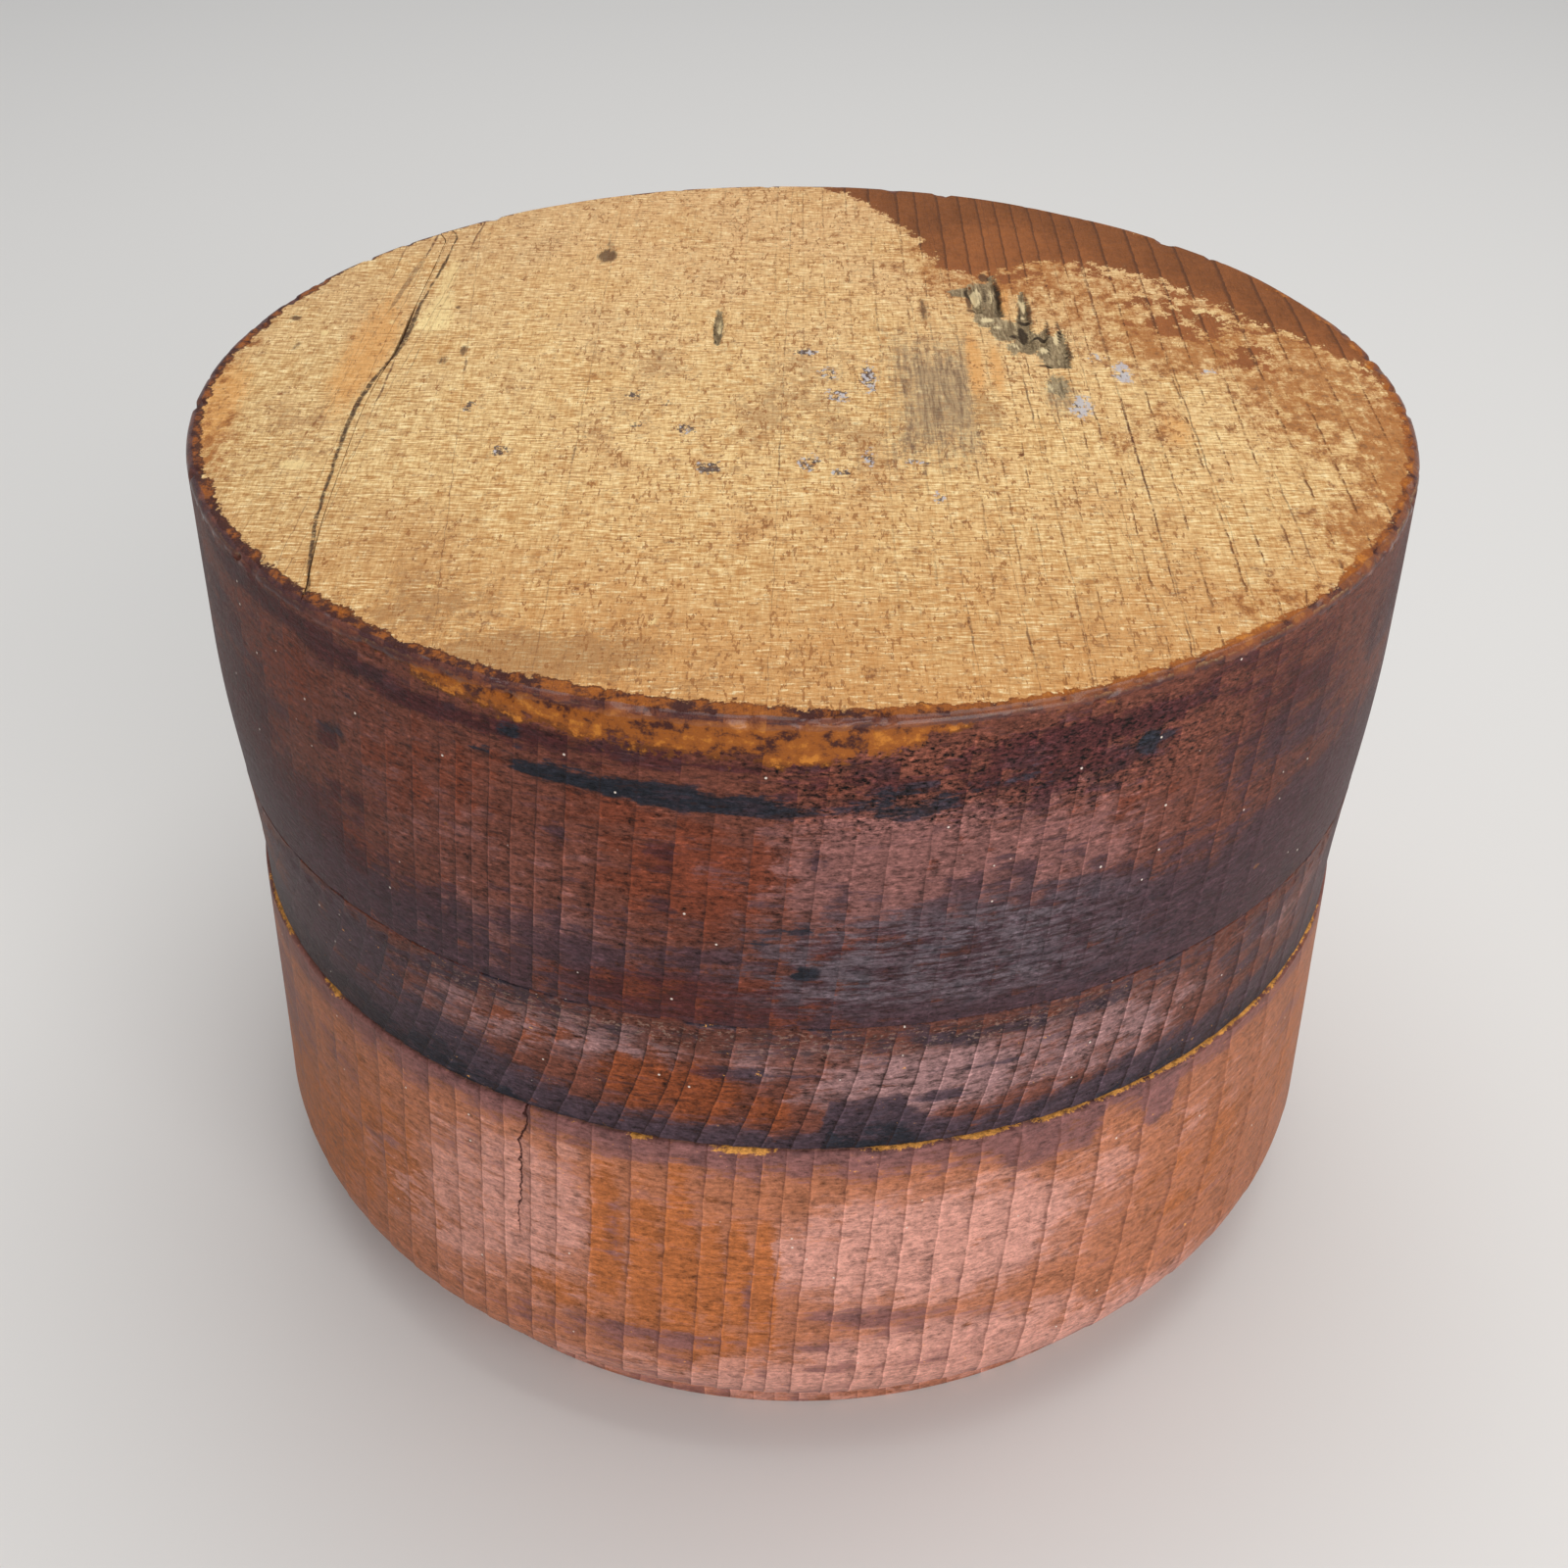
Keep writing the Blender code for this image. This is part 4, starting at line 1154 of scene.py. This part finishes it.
def block_finish():
    """Bare worn wood on top, old varnish on the side and turned wood inside, for both boards."""
    c = bpy.context.scene.turned_box_colours
    g = Graph("dark_varnished_wood_block")
    rings = ring_shares(g)
    on_top = g.attribute("on_top")
    mottle = g.grain((1.1, 1.4, 1.1), 4, 0.8, 1)
    fibre = g.grain((0.4, 3.0, 0.4), 3, 0.7, 2)
    brush = g.grain((2.6, 0.45, 1.0), 3, 0.7, 5)
    broad = g.grain((12, 22, 12), 4, 0.65, 6)

    # top face, with the spilt varnish and its ring lines
    top_colour, rag = bare_face(g, rings, mottle, fibre, brush, broad)
    spill = (g.attribute("spill") + rag * 0.28).step(0.47, 0.56)
    spill_tone = (0.5 - rings.share) * 0.2 + broad * 0.1 + fibre * 0.06 + mottle * 0.09 + 1.0
    spill_tone = spill_tone + (g.attribute("stain") + rag * 0.2).step(0.1, 0.9) * 0.34
    spill_line = rings.share.step(0.84, 0.95) * 0.75
    spill_colour = g.mix(g.shade(c.spill, spill_tone), srgb(92, 56, 34), spill_line)
    top_colour = g.mix(top_colour, spill_colour, spill)
    top_colour, joint_dark = top_marks(g, top_colour, mottle, fibre)

    # varnished side and the amber band along the top edge
    palette = Palette(c.lid_pale_sheen, c.lid_red, c.lid_purple, c.lid_maroon, c.lid_warm, srgb(50, 31, 29))
    side, wear, fine = varnished_side(g, palette, rings, 1.0)
    blotch = g.grain((2.6, 2.6, 2.2), 4, 0.7, 26)
    blobs = g.cells(rings.number, 4.5, 3)
    amber_edge = g.attribute("amber") + wear * 0.12 + blotch * 0.22 + blobs * 0.07
    amber_noise = blotch * 0.8 + wear * 0.35 + blobs * 0.16 - on_top * g.x.step(30, -20) * 0.55
    # the amber's dark spots are partly painted shadow between its blobs
    amber_tone = g.mix(c.amber_dark, c.amber, amber_noise.step(-1.0, 0.1))
    amber_tone = g.mix(amber_tone, c.amber_gold, amber_noise.step(0.25, 1.3) * 0.85)
    bead = amber_edge.window(0.4, 0.52, 0.58, 0.8) * (blotch - g.x * 0.012).step(-0.2, 0.7)
    amber_tone = g.mix(amber_tone, srgb(84, 46, 24), bead * 0.8)
    rim = amber_edge.step(0.42, 0.56)
    side = g.mix(side, amber_tone, amber_edge.step(0.42, 0.6))
    top_colour = g.mix(top_colour, amber_tone, rim)

    # worn arris between them, less so where the amber is golden
    arris = (g.attribute("arris") + blotch * 0.22 + wear * 0.1).step(0.48, 0.72)
    arris_colour = g.mix(srgb(72, 38, 40), srgb(120, 66, 50), wear.step(-0.6, 0.9))
    golden = amber_edge.step(0.6, 0.9) * g.x.window(-60, -30, 4, 24)
    side = g.mix(side, arris_colour, arris * (0.85 - golden * 0.5))
    top_colour = g.mix(top_colour, arris_colour, arris * (0.85 - g.x.step(5, 30) * 0.4))

    outer = 1 - g.attribute("inside")
    colour = g.mix(inside_wood(g, rings), g.mix(side, top_colour, on_top), outer)
    varnished = 1 - on_top * (1 - spill * 0.6)
    gloss = g.math("MAXIMUM", varnished, rim) * outer
    roughness = 0.78 - gloss * 0.3 - rim * 0.12 + fine * 0.06
    height = fine * 0.03 + (fibre * 0.03 + mottle * 0.05) * on_top
    height = height + (rings.light_line - rings.dark_line) * (1 - on_top) * 0.03
    height = height - joint_dark * on_top * 0.2
    g.put(g.shader.inputs["Coat Weight"], arris * outer * 0.5)
    g.shader.inputs["Coat Roughness"].default_value = 0.2
    return g.finish(colour, roughness, height)


def varnish_finish(name, palette, grit_share):
    """Old varnish over growth rings, with chips and a crack, for the lid's lower band, the base and
    the foot."""
    g = Graph(name)
    rings = ring_shares(g)
    side, wear, fine = varnished_side(g, palette, rings, grit_share)
    bare = (g.attribute("bare") + wear * 0.2 + fine * 0.22).step(0.44, 0.62)
    chip_colour = bpy.context.scene.turned_box_colours.chip
    side = g.mix(side, g.shade(chip_colour, fine * 0.5 + 0.92), bare * 0.9)
    across = g.math("ABSOLUTE", g.attribute("crack") + g.grain((3, 3, 2), 3, 0.6, 29) * 0.3)
    side = g.mix(side, srgb(62, 30, 26), (g.attribute("crack_half") - across).step(-0.16, 0.08))
    inside = g.attribute("inside")
    colour = g.mix(side, inside_wood(g, rings), inside)
    roughness = 0.48 + inside * 0.26 + bare * 0.25 + fine * 0.06
    height = fine * 0.03 + (rings.light_line - rings.dark_line) * 0.03
    return g.finish(colour, roughness, height)


def base_finish(name):
    """The base's varnish, which its foot shares."""
    c = bpy.context.scene.turned_box_colours
    palette = Palette(c.base_pale_sheen, c.base_brown, c.base_purple, c.base_purple, c.base_warm, c.base_line)
    return varnish_finish(name, palette, 0.2)


def bare_finish(name):
    """Bare turned wood all over."""
    g = Graph(name)
    fine = fine_grain(g)
    colour = g.shade(inside_wood(g, ring_shares(g)), fine * 0.06 + 1.0)
    return g.finish(colour, 0.7 + fine * 0.05, fine * 0.03)


# Features of the lower band: degrees from the front, and z
ROUGH_DEPTH = 0.25
BAND_FOOT = (
    (-180, 68), (-120, 72), (-60, 74), (-45, 73), (-34, 72), (-24, 68.5), (-17, 67.5), (-6, 66.5),
    (2, 67), (3, 72), (9, 72.5), (11, 69), (15, 66.5), (24, 67), (30, 69), (45, 70), (70, 71), (90, 74),
    (140, 68))
BAND_DARK = (
    (-50, 78, 14, 9, 0.85), (-36, 70, 8, 5, 0.8), (-34, 83, 12, 2.5, 0.6), (-10, 83, 14, 2, 0.5),
    (14, 82.5, 6, 1.8, 0.75), (24, 82, 10, 1.4, 0.7), (18, 76, 3, 1.0, 0.6), (13, 71.5, 3, 1.2, 0.7),
    (-5, 77, 6, 1.2, 0.6), (-39, 74, 5, 1.6, 0.7), (-27, 70, 5, 1.2, 0.6), (48, 78, 9, 7, 0.5),
    (70, 76, 14, 12, 0.7), (120, 80, 16, 5, 0.6), (-110, 76, 24, 9, 0.8), (-160, 82, 16, 4, 0.6))
BAND_WARM = (
    (-14, 73.5, 4, 4.5, 1.0), (-8.5, 73, 3.5, 5, 1.0), (-3, 70, 3, 3, 0.6), (-24, 78, 6, 4, 0.4),
    (95, 74, 10, 6, 0.7), (-150, 74, 12, 6, 0.7), (160, 72, 9, 6, 0.6))
# Pale blots: partly worn varnish and partly a painted sheen
BAND_PALE = (
    (12, 75, 11, 6, 0.95), (26, 76, 16, 7, 0.62), (-20, 79, 12, 5, 0.62), (-30, 77, 8, 5, 0.5),
    (0, 79.5, 9, 4, 0.5), (60, 78, 20, 6, 0.4), (150, 78, 30, 7, 0.6))


def band_fields(points):
    """Fields of the lid's lower band, and its points after the relief."""
    x, y, z = points.T
    angle = azimuth(points)
    outside = lid_radius(z) - np.hypot(x, y)
    tilt = 0.22 - 0.002 * x
    slant = 0.006 * (z - 75) ** 2 - tilt * (z - 75)
    ring = ring_number(x + slant + 0.5 * ring_wander(points, 31), BAND_RINGS)
    inside = ease(outside, 1.0, 2.5)
    foot = along(angle, BAND_FOOT, 360)
    dark = np.maximum(edge(foot - z, 5), turned_spots(angle, z, BAND_DARK))
    rough_band = edge(z - 80.5, 4)
    dark = np.maximum(dark, 0.42 * rough_band)
    dirt = 0.55 * layer_dirt(angle) * edge(z - BAND_TOP + 0.5, 1.8)
    ink = np.maximum(0.62 * edge(foot - 3.5 - z, 5), dirt)
    fields = {
        "ring": ring, "inside": inside, "dark": dark, "ink": ink,
        "pink": turned_spots(angle, z, BAND_PALE), "warm": turned_spots(angle, z, BAND_WARM),
        "relief": 0.35 + 0.65 * ease(np.abs(angle - 8), 60, 20) * ease(z, 84, 80),
        "bare": np.zeros_like(x), "crack": np.full_like(x, 9.0), "crack_half": np.zeros_like(x),
    }
    ring_step = bpy.context.scene.turned_box_shape.ring_step / MM
    depth = ring_relief(ring, x, y, ring_step * 0.9) + hollows(points, 33)
    depth += ROUGH_DEPTH * rough_band * ease(noise(points, (2.2, 2.2, 0.9), 35, 2), 0.0, 0.7)
    return fields, push_in(points, depth * ease(outside, 3, 1))


# Features of the base: degrees from the front, and z
# Chips of the seam: middle, half width and depth
SEAM_CHIPS = (
    (-67, 5, 0.45), (-51.5, 1.8, 0.5), (-14, 1.2, 0.25), (-4.3, 2.6, 0.75), (9.5, 3.4, 0.3),
    (17.5, 3, 0.24), (25, 3, 0.26), (32, 3.5, 0.34), (39, 4, 0.4), (47, 5, 0.36), (60, 8, 0.3),
    (95, 6, 0.6), (150, 5, 0.5), (-110, 6, 0.5), (-160, 4, 0.6))
CHIP_DEPTH = 0.5
CRACK_DEPTH = 0.3
CRACK_HALF = ((34, -0.4), (37, 0.03), (48, 0.13), (60, 0.13), (64, 0.24))
BASE_CRACK = ((36, -26.8), (40, -27), (49, -26.2), (56, -26.3), (59, -25.3), (63, -25.4))
BASE_RIM_DARK = (
    (-180, 58), (-90, 56), (-30, 59), (-12, 58.5), (0, 57.5), (12, 58.5), (18, 57), (20, 55), (28, 55),
    (30, 59.5), (34, 58), (35, 53), (38, 53), (39, 60), (90, 60), (140, 56))
BASE_DARK = (
    (7, 30, 9, 2.2, 0.6), (14, 27, 9, 2, 0.5), (2, 24.5, 6, 1.5, 0.55), (-16, 24, 12, 2.2, 0.6),
    (-22, 21, 16, 2.0, 0.5), (12, 20, 18, 1.5, 0.4), (-31, 52, 4, 3, 0.4), (-8, 60, 9, 1.2, 0.6),
    (36, 56, 1.5, 4, 0.8), (-4, 33, 1, 4, 0.5), (-17, 44, 1, 8, 0.4), (20, 35, 6, 1, 0.4),
    (-45, 40, 4, 4, 0.4), (-52, 50, 5, 4, 0.5), (-70, 45, 12, 14, 0.6), (60, 50, 6, 4, 0.4),
    (100, 44, 14, 8, 0.5), (150, 30, 20, 6, 0.6), (-120, 32, 20, 8, 0.6), (-150, 50, 12, 6, 0.5))
BASE_WARM = (
    (-17.5, 41, 2.0, 13, 0.95), (-13.8, 39, 1.8, 14, 0.85), (-10.4, 40, 1.7, 17, 1.1),
    (-7.4, 37, 1.4, 13, 0.8), (-5, 39, 1.3, 11, 1.0), (-2.7, 38, 1.3, 13, 0.85), (-46, 38, 10, 14, 0.5),
    (-60, 30, 14, 12, 0.9), (-22, 30, 4, 5, 0.5), (-9, 25, 8, 2.5, 0.7), (45, 38, 9, 12, 0.45),
    (70, 40, 16, 14, 0.6), (120, 40, 20, 14, 0.7), (-100, 48, 16, 8, 0.8), (170, 45, 14, 9, 0.8))
# Pale blots: partly worn varnish and partly a painted sheen
BASE_PALE = (
    (16, 14, 34, 7, 1.0), (13, 43, 16, 11, 1.0), (14, 22, 14, 6, 0.9), (29, 44, 8, 11, 0.45),
    (-27, 42, 11, 16, 0.7), (-37, 34, 10, 12, 0.55), (45, 50, 12, 6, 0.25), (160, 34, 30, 10, 0.6),
    (95, 30, 24, 8, 0.5))


def base_fields(points):
    """Fields of the base, and its points after the relief."""
    x, y, z = points.T
    angle = azimuth(points)
    outside = base_radius(z) - np.hypot(x, y)
    bulge = ease(x, 20, 45) * (1 - ((z - 42) / 24) ** 2)
    ring = ring_number(x - 0.06 * (z - 40) - bulge + 0.5 * ring_wander(points, 41), BASE_RINGS)
    inside = ease(outside, 1.5, 3)
    rim_dark = 0.85 * edge(z - along(angle, BASE_RIM_DARK, 360), 6)
    dark = np.maximum(rim_dark, turned_spots(angle, z, BASE_DARK))
    dark = np.maximum(dark, 0.4 * edge(15 - z, 10))
    chip_spots = [(middle, BASE_RIM, half, depth) for middle, half, depth in SEAM_CHIPS]
    chips = spots(angle, z, chip_spots)
    crack = angle - along(z, BASE_CRACK)
    fields = {
        "ring": ring, "inside": inside, "dark": dark, "ink": 0.3 * edge(7 - z, 4),
        "pink": turned_spots(angle, z, BASE_PALE), "warm": turned_spots(angle, z, BASE_WARM),
        "relief": 0.4 + 0.35 * ease(np.abs(angle), 60, 25), "bare": chips,
        "crack": np.radians(crack) * BASE_WIDEST, "crack_half": along(z, CRACK_HALF),
    }
    ring_step = bpy.context.scene.turned_box_shape.ring_step / MM
    depth = ring_relief(ring, x, y, ring_step) + hollows(points, 43)
    depth += CRACK_DEPTH * ease(np.abs(crack), 0.4, 0.1) * ease(z, 35, 38)
    depth += CHIP_DEPTH * ease(chips, 0.4, 0.7)
    return fields, push_in(points, depth * ease(outside, 3, 1))


def plain_fields(points):
    """Fields of a piece that shows little: its rings, and an even varnish without marks."""
    zero = np.zeros(len(points))
    return {"ring": ring_number(points[:, 0], BASE_RINGS), "inside": zero, "dark": zero + 0.3,
            "ink": zero, "pink": zero + 0.5, "warm": zero, "relief": zero + 0.5, "bare": zero,
            "crack": zero + 9.0, "crack_half": zero}


class TURNEDBOX_OT_block(bpy.types.Operator):
    """Make the two boards of the lid's upper block, split at the glue line"""

    bl_idname = "turned_box.block"
    bl_label = "Upper Block Boards"

    def execute(self, context):
        points, faces = turned(block_points())
        material = block_finish()
        for node, keep_right, x in (("lid_main_board", True, JOINT_RIGHT),
                                    ("lid_narrow_board", False, JOINT_LEFT)):
            mesh = raw_mesh(node + "_wood", points, faces)
            cut_board(mesh, x, keep_right)
            fields, moved = block_fields(places(mesh))
            finish_piece(mesh, moved, fields, material, "lid", (node,))
        return {"FINISHED"}


class TURNEDBOX_OT_band(bpy.types.Operator):
    """Make the thinner layer under the lid's upper block"""

    bl_idname = "turned_box.band"
    bl_label = "Lower Band"

    def execute(self, context):
        columns = context.scene.turned_box_shape.columns
        c = context.scene.turned_box_colours
        top_radius = float(lid_radius(BAND_TOP))
        rim_radius = float(lid_radius(BAND_BOTTOM))
        outer = chain(line((top_radius - JOINT_REACH, BAND_TOP), (top_radius - LAYER_CHAMFER, BAND_TOP), 3),
                      line((top_radius - LAYER_CHAMFER, BAND_TOP),
                           (top_radius, BAND_TOP - LAYER_CHAMFER), 0.3),
                      follow(lid_radius, BAND_TOP - LAYER_CHAMFER, BAND_BOTTOM + SEAM_ROUND, 1.0),
                      arc((rim_radius - SEAM_ROUND, BAND_BOTTOM + SEAM_ROUND), SEAM_ROUND, 0, -90, 3))
        reach = CAVITY_RADIUS + JOINT_REACH
        inner = chain(line((reach, BAND_BOTTOM), (CAVITY_RADIUS, BAND_BOTTOM), 4),
                      line((CAVITY_RADIUS, BAND_BOTTOM), (CAVITY_RADIUS, BAND_TOP), 4),
                      line((CAVITY_RADIUS, BAND_TOP), (reach, BAND_TOP), 4))
        points, faces = turned([(outer, even(columns)), (inner, even(HIDDEN_COLUMNS))], closed=True)
        mesh = raw_mesh("lid_lower_ring_wood", points, faces)
        fields, moved = band_fields(places(mesh))
        palette = Palette(c.band_pale_sheen, c.lid_red, c.band_purple, c.lid_maroon, c.orange, srgb(48, 30, 28))
        material = varnish_finish("dark_varnished_wood_band", palette, 1.0)
        finish_piece(mesh, moved, fields, material, "lid", ("lid_lower_ring",))
        return {"FINISHED"}


class TURNEDBOX_OT_base(bpy.types.Operator):
    """Make the bowl-shaped base"""

    bl_idname = "turned_box.base"
    bl_label = "Base Bowl"

    def execute(self, context):
        columns = context.scene.turned_box_shape.columns
        rim = BASE_RIM_RADIUS
        cavity = COLLAR_INNER
        last_turn = math.asin((BASE_CURVE_HEIGHT - BASE_BOTTOM) / BASE_CURVE_HEIGHT)
        turn = np.linspace(0, last_turn, 28)
        curve = np.stack([BASE_WIDEST - BASE_CURVE_WIDTH * (1 - np.cos(turn)),
                          BASE_CURVE_HEIGHT * (1 - np.sin(turn))], 1)
        fine_row = rim - 4
        hidden_row = rim - 6
        outer = chain(line((fine_row, BASE_RIM), (rim - SEAM_ROUND, BASE_RIM), 4),
                      arc((rim - SEAM_ROUND, BASE_RIM - SEAM_ROUND), SEAM_ROUND, 90, 0, 3),
                      follow(base_radius, BASE_RIM - SEAM_ROUND, BASE_CURVE_HEIGHT, 1.3), curve)
        floor = line((curve[-1][0] - JOINT_REACH, BASE_BOTTOM), (0, BASE_BOTTOM), 12)
        corner = arc((cavity - BASE_CAVITY_CORNER, BASE_CAVITY_FLOOR + BASE_CAVITY_CORNER),
                     BASE_CAVITY_CORNER, -90, 0, 8)
        inner = chain(line((0, BASE_CAVITY_FLOOR), corner[0], 12), corner,
                      line(corner[-1], (cavity, RECESS_FLOOR), 6),
                      line((cavity, RECESS_FLOOR), (RECESS_RADIUS, RECESS_FLOOR), 5),
                      line((RECESS_RADIUS, RECESS_FLOOR), (RECESS_RADIUS, BASE_RIM), 4),
                      line((RECESS_RADIUS, BASE_RIM), (hidden_row, BASE_RIM), 4))
        hidden = even(HIDDEN_COLUMNS)
        points, faces = turned([(outer, even(columns)), (floor, hidden)])
        hollow_points, hollow_faces = turned([(inner, hidden)])
        last_row = len(points) + len(hollow_points) + np.arange(-HIDDEN_COLUMNS, 0)
        joined = join_rows(last_row, hidden, np.arange(columns), even(columns))
        faces = np.concatenate([faces, hollow_faces + len(points), joined])
        points = np.concatenate([points, hollow_points])
        mesh = raw_mesh("base_bowl_wood", points, faces)
        fields, moved = base_fields(places(mesh))
        material = base_finish("brown_varnished_wood_base")
        finish_piece(mesh, moved, fields, material, "base", ("base_bowl",))
        return {"FINISHED"}


class TURNEDBOX_OT_collar(bpy.types.Operator):
    """Make the collar that the lid slides down over"""

    bl_idname = "turned_box.collar"
    bl_label = "Base Collar"

    def execute(self, context):
        e = COLLAR_EDGE
        outer = chain(line((COLLAR_INNER + e, COLLAR_TOP), (COLLAR_RADIUS - e, COLLAR_TOP), 1),
                      arc((COLLAR_RADIUS - e, COLLAR_TOP - e), e, 90, 0, 5),
                      line((COLLAR_RADIUS, COLLAR_TOP - e), (COLLAR_RADIUS, COLLAR_BOTTOM), 1.5),
                      line((COLLAR_RADIUS, COLLAR_BOTTOM), (COLLAR_INNER, COLLAR_BOTTOM), 2),
                      line((COLLAR_INNER, COLLAR_BOTTOM), (COLLAR_INNER, COLLAR_TOP - e), 1.5),
                      arc((COLLAR_INNER + e, COLLAR_TOP - e), e, 180, 90, 5)[:-1])
        points, faces = turned([(outer, even(COLLAR_COLUMNS))], closed=True)
        mesh = raw_mesh("base_collar_wood", points, faces)
        points = places(mesh)
        material = bare_finish("bare_wood_collar")
        finish_piece(mesh, points, plain_fields(points), material, "base", ("base_collar",))
        return {"FINISHED"}


class TURNEDBOX_OT_foot(bpy.types.Operator):
    """Make the thin disc under the base"""

    bl_idname = "turned_box.foot"
    bl_label = "Foot Disc"

    def execute(self, context):
        e = FOOT_EDGE
        outer = chain(line((0, FOOT_TOP), (FOOT_RADIUS - e, FOOT_TOP), 8),
                      arc((FOOT_RADIUS - e, FOOT_TOP - e), e, 90, 0, 4),
                      line((FOOT_RADIUS, FOOT_TOP - e), (FOOT_RADIUS, e), 1),
                      arc((FOOT_RADIUS - e, e), e, 0, -90, 4),
                      line((FOOT_RADIUS - e, 0), (0, 0), 8))
        points, faces = turned([(outer, even(FOOT_COLUMNS))])
        mesh = raw_mesh("foot_disc_wood", points, faces)
        points = places(mesh)
        material = base_finish("brown_varnished_wood_foot")
        finish_piece(mesh, points, plain_fields(points), material, "base", ("foot_disc",))
        return {"FINISHED"}


# The stage, in metres: the floor, each lamp's place, size and colour, and the light from all round
FLOOR_HALF = 4.0
FLOOR_ROUGHNESS = 0.6
OVERHEAD = ((0.1, 0.25, 1.1), 1.0, (1.0, 0.98, 0.95))
FRONT = ((0.5, -1.1, 0.7), 0.9, (1.0, 0.97, 0.96))
ROOM_COLOUR = (0.93, 0.95, 1.0, 1)
# The nearest distance that the camera sees
NEAREST_SEEN = 0.01


def stage_light(name, power, place, size, colour):
    """A square soft light at a place in metres, aimed at the box's middle."""
    data = bpy.data.lights.new(name, "AREA")
    data.size = size
    data.energy = power
    data.color = colour
    lamp = bpy.data.objects.new(name, data)
    aim = Vector((0, 0, TOP_Z / 2 * MM)) - Vector(place)
    lamp.matrix_world = Matrix.Translation(place) @ aim.to_track_quat("-Z", "Y").to_matrix().to_4x4()
    bpy.context.scene.collection.objects.link(lamp)


class TURNEDBOX_OT_stage(bpy.types.Operator):
    """Make the floor, the lights, the world and the camera"""

    bl_idname = "turned_box.stage"
    bl_label = "Stage"

    def execute(self, context):
        scene = context.scene
        settings = scene.turned_box_stage
        mesh = bpy.data.meshes.new("floor")
        corners = [(x * FLOOR_HALF, y * FLOOR_HALF, 0) for x, y in ((-1, -1), (1, -1), (1, 1), (-1, 1))]
        mesh.from_pydata(corners, [], [(0, 1, 2, 3)])
        material = bpy.data.materials.new("floor_paint")
        material.use_nodes = True
        shader = material.node_tree.nodes["Principled BSDF"]
        shader.inputs["Base Color"].default_value = (*settings.floor, 1)
        shader.inputs["Roughness"].default_value = FLOOR_ROUGHNESS
        mesh.materials.append(material)
        floor = bpy.data.objects.new("floor", mesh)
        scene.collection.objects.link(floor)

        stage_light("overhead_light", settings.key, *OVERHEAD)
        stage_light("front_light", settings.front, *FRONT)
        world = bpy.data.worlds.new("room")
        world.use_nodes = True
        background = world.node_tree.nodes["Background"]
        background.inputs["Color"].default_value = ROOM_COLOUR
        background.inputs["Strength"].default_value = settings.world
        scene.world = world

        data = bpy.data.cameras.new("camera")
        data.sensor_width = CAMERA_SENSOR
        data.lens = CAMERA_LENS
        data.clip_start = NEAREST_SEEN
        camera = bpy.data.objects.new("camera", data)
        pitch = math.radians(90 - CAMERA_PITCH)
        tilt = Matrix.Rotation(pitch, 4, "X") @ Matrix.Rotation(math.radians(CAMERA_ROLL), 4, "Z")
        camera.matrix_world = Matrix.Translation([v * MM for v in CAMERA_PLACE]) @ tilt
        scene.collection.objects.link(camera)
        scene.camera = camera
        scene.view_settings.view_transform = "Standard"
        return {"FINISHED"}


OPERATORS = (TURNEDBOX_OT_block, TURNEDBOX_OT_band, TURNEDBOX_OT_base, TURNEDBOX_OT_collar,
             TURNEDBOX_OT_foot, TURNEDBOX_OT_stage)


class TURNEDBOX_PT_panel(bpy.types.Panel):
    """The box's pieces and settings in the sidebar"""

    bl_idname = "TURNEDBOX_PT_panel"
    bl_label = "Turned Box"
    bl_space_type = "VIEW_3D"
    bl_region_type = "UI"
    bl_category = "Turned Box"

    def draw(self, context):
        layout = self.layout
        for operator in OPERATORS:
            layout.operator(operator.bl_idname)
        for name in SETTINGS:
            box = layout.box()
            group = getattr(context.scene, name)
            for key in group.__annotations__:
                box.prop(group, key)


SETTINGS = {"turned_box_shape": TurnedBoxShape, "turned_box_colours": TurnedBoxColours,
            "turned_box_stage": TurnedBoxStage}
CLASSES = (*SETTINGS.values(), *OPERATORS, TURNEDBOX_PT_panel)


def register():
    for cls in CLASSES:
        bpy.utils.register_class(cls)
    for name, group in SETTINGS.items():
        setattr(bpy.types.Scene, name, PointerProperty(type=group))


def unregister():
    for name in SETTINGS:
        delattr(bpy.types.Scene, name)
    for cls in reversed(CLASSES):
        bpy.utils.unregister_class(cls)


def main():
    """Makes every piece and the stage."""
    register()
    bpy.ops.turned_box.block()
    bpy.ops.turned_box.band()
    bpy.ops.turned_box.base()
    bpy.ops.turned_box.collar()
    bpy.ops.turned_box.foot()
    bpy.ops.turned_box.stage()


if __name__ == "__main__":
    main()
